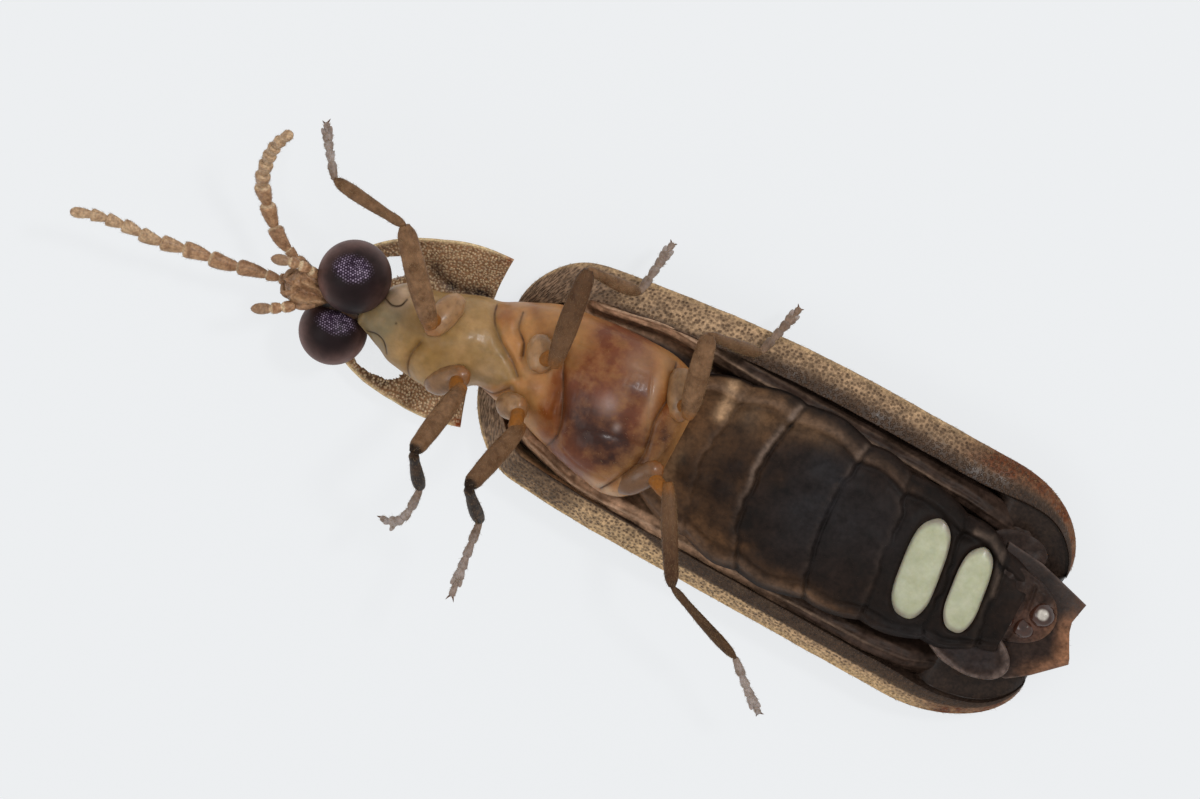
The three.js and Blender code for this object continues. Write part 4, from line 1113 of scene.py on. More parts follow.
def shield_height(p, share):
    """Middle of the shield's wall: a flat floor that rises to the sides and less to the front."""
    side = np.clip((np.abs(share) - 0.4) / 0.6, 0, 1) ** 1.8
    front = np.clip((p - 1.3) / 0.85, 0, 1) ** 1.6
    return 0.05 + SHIELD_RISE * np.hypot(side * (1 - front ** 2), 0.6 * front)


def pane_reach(p, q, side):
    """How far out a point is on the uneven oval of a window: 1 on its edge."""
    plan, sign = PANES[side], SIGNS[side]
    u, v = rotated(p - plan["along"], q - sign * plan["across"], sign * plan["turn"])
    a, b = u / (plan["length"] / 2), v / (plan["width"] / 2)
    angle = np.arctan2(b, a)
    return np.hypot(a, b) / (1 + 0.03 * np.sin(5 * angle + 1) + 0.012 * np.sin(11 * angle))


def neck_shield():
    """A sheet over p and a share of the half-width, with its points near each window moved onto the
    window's edge and the faces inside it left out, then given its two walls."""
    rows, columns = 170, 256
    t = np.linspace(0, 1, rows)[:, None]
    share = np.sin(np.linspace(-1, 1, columns) * np.pi / 2)[None]
    p = SHIELD_REACH * (1 - (1 - t) ** 1.35)
    q = shield_half_width(p) * share
    p = p + (0.12 - 0.14 * share ** 2) * (1 - smooth(p / 0.4))
    sheet = stack(p, q, shield_height(p, share))
    skin = sheet.copy()
    reaches = {side: pane_reach(p, q, side) for side in SIGNS}
    hole = (reaches["left"] < 1) | (reaches["right"] < 1)
    quads = grid_quads(rows, columns, False)
    quads = quads[~hole.ravel()[quads].all(axis=1)]
    for side, reach in reaches.items():
        inside = reach < 1
        middle = np.array((PANES[side]["along"], SIGNS[side] * PANES[side]["across"]))
        sheet[inside, :2] = middle + (sheet[inside, :2] - middle) / np.maximum(reach[inside], 0.05)[:, None]
    sheet[..., 2] += 0.005 * uneven(sheet, 0.22, 4)
    side_edge = np.minimum((1 - np.abs(share)) * shield_half_width(p), (SHIELD_REACH - p) * 1.4)
    to_edge = np.minimum(side_edge, p)
    dent = near_line(p, np.abs(q), SHIELD_DENT, 0.11)
    sheet[..., 2] -= 0.05 * dent
    masks = {
        # rim: a painted glow of light through the thin edge
        "rim": (0.9 * np.exp(-(side_edge / 0.024) ** 2)
                + 0.6 * np.exp(-(p / 0.03) ** 2) * (np.abs(share) > 0.3)),
        # hollow: painted shade in the dents and outside the right window
        "hollow": np.maximum(dent, 0.6 * near_line(p, q, SHIELD_SHADE, 0.07)),
        "corner": blob(p, np.abs(q), (0.02, 1.14), (0.07, 0.07)),
        "grained": (1 - 0.7 * np.exp(-(to_edge / 0.03) ** 2)) * (1 - 0.75 * dent),
        "skin": skin,
    }
    thickness = np.broadcast_to(0.035 + 0.06 * smooth(to_edge / 0.25), (rows, columns)).ravel()
    body = from_fore(sheet)
    shape = two_walled(body.reshape(-1, 3), quads, thickness, point_masks(masks, rows, columns))
    piece("neck_shield_shell", shape, SHIELD_HORN, ("neck_shield",))
    rng = np.random.default_rng(21)
    keep = np.where(hole, 0, np.exp(-(to_edge / 0.1) ** 2) + 0.1)
    bristles("neck_shield_hair", scatter(body, 2400, rng, keep, wrap=False), HAIR,
             length=0.045, radius=0.0018, slant=20, seed=6)


def shield_pane(side):
    """A thin oval sheet on the shield's own height, a little larger than its hole."""
    rows, columns = 26, 72
    plan, sign = PANES[side], SIGNS[side]
    reach = np.linspace(0.001, 1.1, rows)[:, None]
    angle = np.linspace(0, 2 * np.pi, columns, endpoint=False)[None]
    u, v = rotated(reach * np.cos(angle) * plan["length"] / 2, reach * np.sin(angle) * plan["width"] / 2,
                   -sign * plan["turn"])
    p, q = plan["along"] + u, sign * plan["across"] + v
    sheet = stack(p, q, shield_height(p, q / shield_half_width(p)))
    shape = two_walled(from_fore(sheet.reshape(-1, 3)), grid_quads(rows, columns, True), 0.012)
    piece(f"shield_window_{side}", shape, WINDOW_HORN, (f"shield_pane_{side}",))


# Neck, breast and chest: one skin

def furrow_lines(x, y):
    """How near a point is to the furrows of each kind, to a broad soft line along the creases, and
    to the orange skin along the first seam."""
    routes = {kind: [along_path(route, 14)[0] for route in group] for kind, group in FURROWS.items()}
    lines = {kind: np.max([near_line(x, y, route, FURROW_WIDTHS[kind]) for route in group], axis=0)
             for kind, group in routes.items()}
    lines["soft"] = np.max([near_line(x, y, route, 0.06) for route in routes["crease"]], axis=0)
    lines["orange"] = near_line(x, y, routes["seam"][0], 0.035)
    return lines


def breast_form():
    """Superellipse rings along the stations, raised by soft bulges where plates swell and sunk by
    narrow furrows where they meet. With them go how far each point faces up, and the lines."""
    rows, columns = 420, 190
    table = np.array(BREAST_STATIONS)
    steps = np.concatenate(([0], np.cumsum(np.abs(np.diff(table[:, 0])) + 0.03)))
    t = np.linspace(0, 1, rows) * steps[-1]
    x, middle, half, top, bottom = follow(steps, table, t).T[:, :, None]
    angle = ring_angles(columns, 0.35)
    upward = np.sin(angle)
    facing = smooth(upward / 0.35)
    line = bottom + (top - bottom) * 0.42
    y = middle + half * power(np.cos(angle), 0.82)
    z = line + np.where(upward > 0, top - line, line - bottom) * power(upward, 0.82)

    lines = furrow_lines(x, y)
    chest = smooth((-0.78 - x) / 0.12) * smooth((x + 2.12) / 0.15)
    lobes = np.clip(spots(x, y, BREAST_SPOTS["lobe"]), 0, 1)
    swell = spots(x, y, BREAST_SWELLS) + chest * spots(x, y, CHEST_SWELLS) + LOBE_RISE * lobes
    furrow = 0.022 * lines["crease"] + 0.05 * lines["soft"] + 0.012 * lines["ink"] + 0.01 * lines["seam"]
    rings = stack(x, y, z + facing * (swell - furrow))
    rings[..., 2] += (0.008 * uneven(rings, 0.35, 12) + 0.0015 * uneven(rings, 0.1, 13)) * facing
    return rings, facing, lines


def breast_skin():
    """The skin over the rings. Each paint is a sum of soft spots and lines, and most of them lie
    only behind the wavering line where cream gives way to amber."""
    rings, facing, lines = breast_form()
    x, y = rings[..., 0], rings[..., 1]
    cover = {name: spots(x, y, table) for name, table in BREAST_SPOTS.items()}
    boundary = between(AMBER_EDGE, y) + 0.02 * uneven(rings, 0.2, 17)
    amber = smooth((boundary - x) / 0.12 + 0.5)
    along, aside = (x - DISC_MIDDLE[0]) / DISC_SIZE[0], (y - DISC_MIDDLE[1]) / DISC_SIZE[1]
    disc = smooth(1.35 - np.hypot(along, aside) ** 2)
    masks = {
        "olive": 0.85 * smooth((x - 1.2) / 0.35),
        "honey": cover["honey"],
        "amber": amber * (1 - 0.25 * lines["seam"]),
        "pink": amber * (0.9 * disc + cover["pink"]),
        "orange": amber * (cover["orange"] + 0.75 * lines["orange"]),
        # No wine where the painted highlight lies
        "wine": amber * np.clip(cover["wine"], 0, 0.85) * (1 - cover["clear"]),
        "lobe": 0.8 * np.clip(cover["lobe"], 0, 1),
        "pale": np.clip(cover["pale"] + 0.6 * near_line(x, y, PALE_FOLD, 0.03), 0, 1),
        # A painted highlight on the chest
        "shine": cover["shine"],
        "crease": facing * np.maximum(0.8 * lines["crease"], 0.25 * lines["soft"]) * smooth((1.3 - x) / 0.3),
        "ink": facing * np.maximum(lines["ink"], cover["dot"]),
    }
    piece("breast_skin", closed_rings(rings, masks), BREAST_SKIN,
          ("neck_and_breast", "hind_chest"))
    rng = np.random.default_rng(31)
    roots = scatter(rings, 1100, rng, keep=facing * (0.1 + amber) * (1 - 0.8 * disc) + 1e-4)
    bristles("breast_hair", roots, HAIR, length=0.035, radius=0.0012, slant=16, seed=7)


# Belly

def plate_edge(y, plan):
    """Where the hind edge of a belly plate lies: slanted across, and drawn back at both sides."""
    return plan[0] + plan[1] * y + plan[2] * y * y


def belly_form():
    """Superellipse rings. Each plate rises slowly to a rounded, wavering hind edge and drops to the
    next one, bulges at its sides beyond a lengthwise fold, and has pockets for the light organs.
    With them goes how strongly each of these marks shows at each point."""
    rows, columns = 540, 172
    t = np.linspace(0, 1, rows)[:, None]
    x = BELLY_FRONT + (BELLY_REAR - BELLY_FRONT) * t
    half = between(BELLY_WIDTHS, x)
    angle = ring_angles(columns, 0.5)
    upward = np.sin(angle)
    facing = smooth(upward / 0.3)
    top = BELLY_TOP - 0.12 * smooth((t - 0.55) / 0.45)
    line = BELLY_BOTTOM + (top - BELLY_BOTTOM) * 0.4
    side = power(np.cos(angle), 0.7)
    y = BELLY_MIDDLE + half * side

    waver = 0.025 * np.sin(7 * y + 1) + 0.015 * np.sin(17 * y) + 0.01 * np.sin(31 * y + 2)
    edges = np.stack([plate_edge(y - BELLY_MIDDLE, plan) + waver * np.cos(2.3 * k + y)
                      for k, plan in enumerate(PLATE_EDGES)])
    starts = np.concatenate((np.full_like(y, BELLY_FRONT)[None], edges))
    ends = np.concatenate((edges, np.full_like(y, BELLY_REAR - 0.3)[None]))
    part = np.where((x <= starts) & (x > ends), np.clip((starts - x) / (starts - ends), 0, 1), 0)
    step = (part ** 1.5).sum(axis=0)
    step = sum(np.roll(step, k, axis=0) for k in range(-3, 4)) / 7
    bulge = np.sin(np.pi * part.sum(axis=0))
    tones = np.array(EDGE_TONES)[:, :, None, None]
    tones = tones[:, 0] + (tones[:, 1] - tones[:, 0]) * smooth(0.5 + (y - BELLY_MIDDLE) / 1.2)
    ridge = (tones * np.exp(-((x - edges - 0.05) / 0.04) ** 2)).sum(axis=0)
    depths = np.array(GROOVE_DEPTHS)[:, None, None]
    groove = (depths * np.exp(-((x - edges + 0.02) / 0.03) ** 2)).sum(axis=0)

    y = y + 0.06 * side * bulge * np.abs(side) ** 3
    beyond = np.abs(y - BELLY_MIDDLE) - (0.76 + 0.07 * bulge) * half
    side_fold = np.exp(-(beyond / 0.045) ** 2)
    side_ridge = np.exp(-((beyond - 0.1 * half) / 0.06) ** 2)
    reaches = [organ_reach(x, y, plan) for plan in ORGANS.values()]
    pockets = np.max([smooth((1.12 - reach) / 0.14) for reach in reaches], axis=0)
    frames = np.max([np.exp(-((reach - 1.25) / 0.2) ** 2) for reach in reaches], axis=0)
    crescent = near_line(x, y, CRESCENT, 0.035)
    z = line + np.where(upward > 0, top - line, line - BELLY_BOTTOM) * power(upward, 0.72)
    z = z + facing * (PLATE_STEP * (step - 1) - 0.02 * groove - 0.035 * side_fold + 0.04 * side_ridge)
    rings = stack(x, y, z + facing * (0.015 * frames + 0.02 * crescent - 0.05 * pockets))
    soft_noise = uneven(rings, 0.3, 14)
    rings[..., 2] += (0.018 * soft_noise + 0.002 * uneven(rings, 0.1, 15)) * facing * (1 - pockets)
    marks = {"facing": facing, "ridge": ridge, "groove": groove, "side_fold": side_fold,
             "side_ridge": side_ridge, "pockets": pockets, "frames": frames, "crescent": crescent,
             "noise": soft_noise}
    return rings, marks


def belly_plates():
    """The skin over the rings. Each paint is a sum of soft spots, streaks and the plates' marks."""
    rings, marks = belly_form()
    x, y = rings[..., 0], rings[..., 1]
    facing, side_ridge = marks["facing"], marks["side_ridge"]
    cover = {name: spots(x, y, table) for name, table in BELLY_SPOTS.items()}
    front = 1 - smooth((-2.45 - x + 0.25 * marks["noise"]) / 1.4)
    # The side streak is a painted highlight
    streaks = near_line(x, y, FRONT_STREAK, 0.075) + 0.4 * near_line(x, y, SIDE_STREAK, 0.045)
    masks = {
        "brown": facing * np.clip(0.95 * front + 0.65 * cover["left"] + 0.7 * cover["right"]
                                  + 0.35 * side_ridge * (1 - smooth((-4.8 - x) / 1)), 0, 1),
        "cloud": facing * cover["cloud"],
        "tan": facing * (streaks + 0.12 * cover["left"] + cover["tan"]),
        "edge": facing * np.clip(0.9 * marks["ridge"] * (1 - marks["side_fold"]) + 0.9 * marks["crescent"]
                                 + 0.3 * side_ridge * (1 - smooth((-4.4 - x) / 1.2)), 0, 0.9),
        # frame: painted shade in the groove behind each plate and in the side fold, and a dark ring round
        # each light organ
        "frame": facing * np.clip(0.6 * marks["frames"] + 0.5 * marks["groove"]
                                  + 0.35 * marks["side_fold"], 0, 1),
        # A painted bluish sheen
        "blue": facing * cover["blue"],
    }
    piece("belly_plates", closed_rings(rings, masks), BELLY_HORN, ("belly",))
    rng = np.random.default_rng(41)
    roots = scatter(rings, 1600, rng, keep=facing * (1 - marks["pockets"]) + 0.05)
    bristles("belly_hair", roots, DARK_HAIR, length=0.04, radius=0.0012, slant=12, seed=8)


def organ_reach(x, y, plan):
    """How far out a point is on the rounded oval of a light organ: 1 on its edge."""
    u, v = rotated(x - plan["x"], y - plan["y"], -ORGAN_TURN)
    return ((2 * np.abs(u) / plan["length"]) ** 2 + (2 * np.abs(v) / plan["width"]) ** ORGAN_POWER) ** (1 / 3)


def light_organ(name, plan):
    """A low dome on a rounded oval: its height falls off with the third power of the reach, and its
    edge is waved a little."""
    rows, columns = 36, 120
    reach = np.linspace(0.02, 1, rows)[:, None]
    angle = np.arange(columns)[None] * 2 * np.pi / columns
    angle = angle - 0.42 * np.sin(2 * angle) / 2
    wave = reach * (1 + 0.012 * np.sin(3 * angle + 1) + 0.006 * np.sin(7 * angle))
    u, v = rotated(wave * np.cos(angle) * plan["length"] / 2,
                   wave * power(np.sin(angle), 2 / ORGAN_POWER) * plan["width"] / 2, ORGAN_TURN)
    x, y = plan["x"] + u, plan["y"] + v
    base = BELLY_TOP - 0.1 - 0.1 * (y / 0.9) ** 2 - 0.04 * smooth((-6.2 - x) / 0.5)
    dome = stack(x, y, base + 0.07 * (1 - reach ** 3))
    dome[..., 2] += 0.008 * uneven(dome, 0.25, 16) * (1 - reach)
    wall = stack(x[-1:], y[-1:], base[-1:] - np.array((0.06, 0.12))[:, None])
    border = np.concatenate((smooth((reach - 0.84) / 0.14), np.ones((2, 1))))
    rings = np.concatenate((dome, wall))
    piece(name, closed_rings(rings, {"border": border}), LIGHT_ORGAN, (plan["node"],))


def tail_sheet():
    """The thin hind plate: straight lines across between two measured side edges, straight lines
    along to the measured hind edge, bent down at both sides."""
    rows, columns = 90, 110
    t = np.linspace(0, 1, rows)[:, None]
    share = np.linspace(-1, 1, columns)[None]
    left, right = between(TAIL_LEFT, t), between(TAIL_RIGHT, t)
    front = TAIL_FRONT - 0.15 * (share + 1) / 2
    sheet = stack(front + (between(TAIL_REAR, share) - front) * t, left + (right - left) * (share + 1) / 2,
                  1.0 - 0.08 * t - 0.14 * np.abs(share) ** 2.2 + 0.02 * np.sin(3 * share))
    glow = np.maximum(smooth((t - 0.8) / 0.18) * (0.15 + 0.7 * smooth((share + 0.7) / 0.5)),
                      0.6 * smooth((t - 0.5) / 0.3) * smooth((share - 0.5) / 0.4))
    masks = paints(TAIL_PAINTS, glow=glow, rim=0.5 * np.exp(-((1 - np.abs(share)) / 0.03) ** 2))
    thickness = np.broadcast_to(0.08 - 0.05 * t, (rows, columns)).ravel()
    return sheet, two_walled(sheet.reshape(-1, 3), grid_quads(rows, columns, False), thickness,
                             point_masks(masks, rows, columns))


def tail_lobe(side):
    """A rounded side lobe: a shallow dome on an oval, whose rim the tenth power of the reach raises."""
    rows, columns = 40, 96
    low, size, rim = TAIL_LOBES[side]
    sign = SIGNS[side]
    reach = np.linspace(0.01, 1, rows)[:, None]
    angle = np.arange(columns)[None] * 2 * np.pi / columns
    u, v = rotated(reach * np.cos(angle) * 0.62 * size, reach * np.sin(angle) * 0.36 * size, -8 * sign)
    x, y = u - 6.94, v + sign * 0.68 + 0.02
    height = 1.0 - low + 0.05 * rim * reach ** 10 + 0.03 * (1 - reach ** 2) - 0.14 * (np.abs(y) - 0.7)
    lobe = stack(x, y, height)
    lobe[..., 2] += 0.016 * uneven(lobe, 0.25, 19)
    masks = paints(TAIL_PAINTS, rim=0.8 * rim * smooth((reach - 0.78) / 0.2),
                   blue=0.7 * rim * (1 - smooth((reach - 0.5) / 0.4)))
    return two_walled(lobe.reshape(-1, 3), grid_quads(rows, columns, True), 0.05,
                      point_masks(masks, rows, columns))


def tail_cover():
    """The plate that closes the belly: superellipse rings that narrow to a rounded end, with two
    soft side swells and a furrow across. With it goes how far each point faces up."""
    t = np.linspace(0, 1, 120)[:, None]
    x = COVER_FRONT - COVER_LENGTH * t
    angle = ring_angles(90, 0)
    upward = np.sin(angle)
    facing = smooth(upward / 0.3)
    y = COVER_MIDDLE + (0.5 * np.sqrt(1 - t ** 2.6) + 0.01) * power(np.cos(angle), 0.8)
    reach = np.where(upward > 0, 1.22 - 0.12 * t - COVER_LINE, 0.12)
    z = COVER_LINE + reach * power(upward, 0.8) * np.sqrt(1 - 0.96 * t ** 3)
    z = z + facing * 0.05 * (spots(x, y, COVER_SWELLS) - near_line(x, y, COVER_FURROW, 0.04))
    rings = stack(x, y, z)
    rings[..., 2] += 0.014 * uneven(rings, 0.2, 18) * facing
    masks = paints(TAIL_PAINTS, glow=0.35 * smooth((t - 0.75) / 0.25),
                   bump=0.9 * facing * np.clip(spots(x, y, COVER_BUMPS), 0, 1))
    return rings, facing, closed_rings(rings, masks)


def tail_knob(place, radius, highlight_strength):
    """A ball of circles along x, a little uneven, with a painted highlight: a pale spot on the side that
    faces the camera.
    """
    share = np.linspace(-0.99, 0.99, 30)[:, None]
    around = np.sqrt(1 - share ** 2)
    angle = ring_angles(90, 0)
    knob = stack(share, around * np.cos(angle), around * np.sin(angle)) * radius
    # A painted highlight: a pale spot where the knob faces the camera
    lit = smooth((knob @ KNOB_HIGHLIGHT_WAY / radius - 0.86) / 0.1)
    rings = knob * (1 + 0.04 * uneven(knob, radius, 20))[..., None] + np.array(place)
    return closed_rings(rings, {"pale": highlight_strength * lit})


def tail():
    """The last plates as one piece, the knobs on them, and short dark hairs."""
    sheet, hind_plate = tail_sheet()
    lobes = [tail_lobe(side) for side in SIGNS]
    rings, facing, cover = tail_cover()
    piece("tail_plates", joined([hind_plate, *lobes, cover]), TAIL_HORN, ("tail_plate",))
    piece("tail_knobs", joined([tail_knob(*plan) for plan in KNOBS]), KNOB_HORN)
    rng = np.random.default_rng(51)
    to_rear = np.linspace(0, 1, len(sheet))[:, None] ** 2
    hair = all_roots((scatter(sheet, 400, rng, keep=to_rear + 0.1, wrap=False),
                      scatter(rings, 400, rng, keep=facing + 0.05)))
    bristles("tail_hair", hair, DARK_HAIR, length=0.04, radius=0.0013, slant=16, seed=9)


# Head

def facet_ball():
    """Unit points and small triangles: each face of an icosahedron is split into a triangular grid
    and pushed out to the ball. Every third point is a facet's middle."""
    golden = (1 + 5 ** 0.5) / 2
    base = np.array([(a, b * golden, 0) for a in (-1, 1) for b in (-1, 1)])
    base = unit(np.concatenate((base, base[:, (2, 0, 1)], base[:, (1, 2, 0)])))
    near = np.linalg.norm(base[:, None] - base[None], axis=-1) < 1.1
    trios = [(a, b, c) for a in range(12) for b in range(a + 1, 12) for c in range(b + 1, 12)
             if near[a, b] and near[b, c] and near[a, c]]
    n = EYE_STEPS
    i, j = np.array([(i, j) for i in range(n + 1) for j in range(n + 1 - i)]).T
    weights = np.stack((i, j, n - i - j), axis=1) / n
    number = np.full((n + 2, n + 2), -1)
    number[i, j] = np.arange(len(i))
    ups = np.stack((number[i, j], number[i + 1, j], number[i, j + 1]), axis=1)
    downs = np.stack((number[i + 1, j], number[i + 1, j + 1], number[i, j + 1]), axis=1)
    small = np.concatenate((ups[(ups >= 0).all(axis=1)], downs[(downs >= 0).all(axis=1)]))
    points = unit(np.concatenate([weights @ base[list(trio)] for trio in trios]))
    middles = np.tile((i - j) % 3 == 0, len(trios)).astype(float)
    faces = np.concatenate([small + k * len(i) for k in range(len(trios))])
    _, first, place = np.unique(np.round(points, 5), axis=0, return_index=True, return_inverse=True)
    points, middles, faces = points[first], middles[first], place.ravel()[faces]
    a, b, c = (points[faces[:, k]] for k in range(3))
    flip = np.einsum("ij,ij->i", a, np.cross(b, c)) < 0
    faces[flip] = faces[flip][:, ::-1]
    return points, middles, faces


def eye(side):
    """A ball of facets whose middles stand a little proud of their corners. Seen from above, along the
    camera's way, it has a painted violet sheen with a painted glint on each facet inside a soft oval,
    and a painted reflection makes its rim paler all round but for its shaded sides."""
    points, proud, faces = facet_ball()
    middle, radius = EYES[side]
    across, above, out = (points @ np.array(way) for way in camera_ways())
    # A painted violet sheen in a soft oval facing the camera, with a painted glint on each facet
    painted_sheen = smooth((blob(across, above, *EYE_SHEEN_PATCH[side]) * (out > 0) - 0.2) / 0.45)
    twinkle = np.random.default_rng(65).uniform(0.15, 1, len(points))
    shaded_side = np.minimum(spots(across, above, EYE_SHADED_SIDES[side]), 1)
    # limb: a painted reflection, the rim paler all round but not on the shaded sides
    limb = smooth((0.93 - out) / 0.7) * smooth((out + 0.4) / 0.4) * (1 - shaded_side)
    masks = {"painted_sheen": 0.75 * painted_sheen, "painted_glint": painted_sheen * (1.8 * proud - 0.5) * twinkle, "limb": 0.95 * limb}
    body = points * (radius * (1 + 0.005 * proud))[:, None] + np.array(middle)
    piece(f"eye_facets_{side}", Shape(body, [faces], masks), EYE_GLASS, (f"eye_{side}",))


def muzzle():
    """Kite-shaped superellipse rings along the stations, with soft ridges, two swells and a furrow.
    With them go how thick the hairs stand at each point, and the closed shape."""
    rows, columns = 150, 110
    table = np.array(MUZZLE_STATIONS)
    t = np.linspace(0, MUZZLE_LENGTH, rows)
    x, half, top, bottom = follow(table[:, 0], table, t).T[:, :, None]
    angle = np.arange(columns)[None] * 2 * np.pi / columns
    upward = np.sin(angle)
    facing = smooth(upward / 0.3)
    line = (top + bottom) / 2
    y = half * power(np.cos(angle), 0.9)
    z = line + (top - bottom) / 2 * power(upward, 0.8)
    raised = np.max([near_line(x, y, route, 0.035) for route in MUZZLE_RIDGES], axis=0)
    bulges = 0.05 * raised + spots(x, y, MUZZLE_SWELLS) - 0.05 * near_line(x, y, MUZZLE_FURROW, 0.03)
    rings = stack(x, y, z + facing * bulges)
    rough = 0.008 * uneven(rings, 0.1, 22) + 0.003 * uneven(rings, 0.045, 23)
    rings += rough[..., None] * unit(rings - stack(x, 0, line))
    masks = {"dark": 0.9 * (1 - smooth((x - 0.1) / 0.2)), "ridge": 0.6 * raised * facing}
    return rings, facing * smooth((x - 0.15) / 0.2) + 0.02, closed_rings(rings, masks)


def skull():
    """A dark, low, rounded form between the eyes: ellipses of a half-width that falls to both ends."""
    x = np.linspace(-0.5, 0.4, 60)[:, None]
    half = 0.3 * np.sqrt(1 - (np.abs(x + 0.05) / 0.47) ** 2.5)
    angle = np.arange(110)[None] * 2 * np.pi / 110
    rings = stack(x, half * np.cos(angle), half * np.sin(angle) - 0.16)
    return closed_rings(rings, {"dark": 1.0, "ridge": 0.0})


def face():
    """Muzzle, skull and, on both sides, tubes for the parts of the mouth, all in the muzzle's frame
    and then put in place."""
    rings, haired, muzzle_shape = muzzle()
    parts = [muzzle_shape, skull()]
    for route, radius, dark in MOUTH_PARTS:
        for sign in SIGNS.values():
            path, share = along_path(np.array(route) * (1, sign, 1), 30)
            radii = radius * np.sqrt(1 - 0.92 * share ** 5) * (0.75 + 0.25 * np.sin(np.pi * share))
            parts.append(closed_rings(tube_rings(path, radii, 16), {"dark": dark, "ridge": 0.25}))
    shape = joined(parts)
    shape = Shape(from_muzzle(shape.points), shape.faces, shape.masks)
    piece("face_and_mouth", shape, FACE_HORN, ("head",))
    rng = np.random.default_rng(61)
    roots = scatter(from_muzzle(rings), 900, rng, keep=haired)
    bristles("face_hair", roots, HAIR, length=0.04, radius=0.0015, slant=30, seed=10)


# Jointed limbs

def jointed(joints, radii, profile, per_joint):
    """Share of the length, radius and place within the joint, along a chain of joints that each
    follow one profile of radius."""
    ends = np.concatenate(([0], np.cumsum(joints))) / np.sum(joints)
    local = np.linspace(0, 1, per_joint, endpoint=False)
    share = (ends[:-1, None] + np.diff(ends)[:, None] * local).ravel()
    radius = (np.asarray(radii)[:, None] * between(profile, local)).ravel()
    tip = radii[-1] * profile[-1][1] * 0.4
    return np.append(share, 1.0), np.append(radius, tip), np.append(np.tile(local, len(joints)), 1.0)


def on_path(route, count, share):
    """Points at a share of the length of a smooth line, which is read off a count of even steps."""
    path, even = along_path(route, count)
    return np.stack([np.interp(share, even, column) for column in path.T], axis=1)


def feeler(name, route):
    """Eleven cones on a curve, the last one blunt, each with a pale skin at its far end, under
    short hairs."""
    share, radius, local = jointed(FEELER_JOINTS, FEELER_RADII, FEELER_PROFILE, 26)
    last = share > 1 - FEELER_JOINTS[-1] / sum(FEELER_JOINTS)
    blunt = np.sqrt(1 - 0.94 * local ** 5) * (0.65 + 0.35 * np.sin(np.pi * local * 0.6))
    radius = np.where(last, FEELER_RADII[-1] * blunt, radius)
    rings = tube_rings(on_path(route, 300, share), radius, 26, flat=0.8)
    skins = np.where(last, 0, smooth((local - 0.9) / 0.06)) + 0.7 * (1 - smooth(local / 0.05))
    skins = skins * smooth((share - 0.1) / 0.05) * (0.8 - 0.3 * share)
    root = np.maximum(1 - smooth((share - 0.06) / 0.06), 0.15 - 0.15 * smooth((share - 0.2) / 0.3))
    masks = {"pale": np.maximum(skins, 0.4 * smooth((share - 0.35) / 0.4))[:, None], "root": root[:, None],
             "grey": 0.0}
    piece(f"{name}_joints", closed_rings(rings, masks), FEELER_HORN, (name,))
    keep = (1 - smooth((local - 0.88) / 0.06))[:, None] + 0.02
    roots = scatter(rings, 2200, np.random.default_rng(71), keep)
    bristles(f"{name}_hair", roots, HAIR, length=0.04, radius=0.0014, slant=24, seed=12)


def palp(name, route):
    """Four short joints, the last one large and blunt, with pale skins between them."""
    share, radius, local = jointed(PALP_JOINTS, PALP_RADII, PALP_PROFILE, 22)
    last = share > 1 - PALP_JOINTS[-1] / sum(PALP_JOINTS)
    blunt = np.sqrt(1 - 0.97 * local ** 3) * (0.7 + 0.3 * np.sin(2.4 * local))
    rings = tube_rings(on_path(route, 120, share), np.where(last, PALP_RADII[-1] * blunt, radius), 24)
    skins = np.where(last, 1 - smooth(local / 0.1), smooth((local - 0.72) / 0.12) + 1 - smooth(local / 0.12))
    masks = {"pale": 0.75 * skins[:, None], "root": 0.0, "grey": 0.6 * last[:, None]}
    piece(f"{name}_joints", closed_rings(rings, masks), FEELER_HORN, (name,))
    roots = scatter(rings, 400, np.random.default_rng(81))
    bristles(f"{name}_hair", roots, HAIR, length=0.03, radius=0.0013, slant=26, seed=13)


def leg_part(start, end, radius, profile, bow, rows, sides, flat):
    """Rings between two joints, with their share of the length: the middle line bows upwards by a
    sine, and the radius follows a profile."""
    share = np.linspace(0, 1, rows)
    path = start + (end - start) * share[:, None] + np.array((0, 0, bow)) * np.sin(np.pi * share)[:, None]
    stations, widths = np.array(profile).T
    return tube_rings(path, radius * follow(stations, widths, share), sides, flat), share[:, None]


def foot_lobe(start, way, spread):
    """One lobe of a foot's fourth joint: a flat tube that bends to its side and ends blunt."""
    path, share = along_path([start, start + way * 0.08 + spread * 0.04,
                              start + way * 0.16 + spread * 0.06], 20)
    rings = tube_rings(path, LOBE_RADIUS * np.sqrt(1 - 0.9 * share ** 4), 12, 0.6)
    return closed_rings(rings, paints(LEG_PAINTS, toe=0.9))


def claw(start, way, spread, down):
    """A thin tube that bends to its side and down, and tapers to a point."""
    path, share = along_path([start, start + way * 0.04 + spread * 0.03,
                              start + way * 0.09 + spread * 0.055 + down * 0.03], 24)
    return closed_rings(tube_rings(path, CLAW_RADIUS * (1 - 0.9 * share ** 1.4), 12), {})


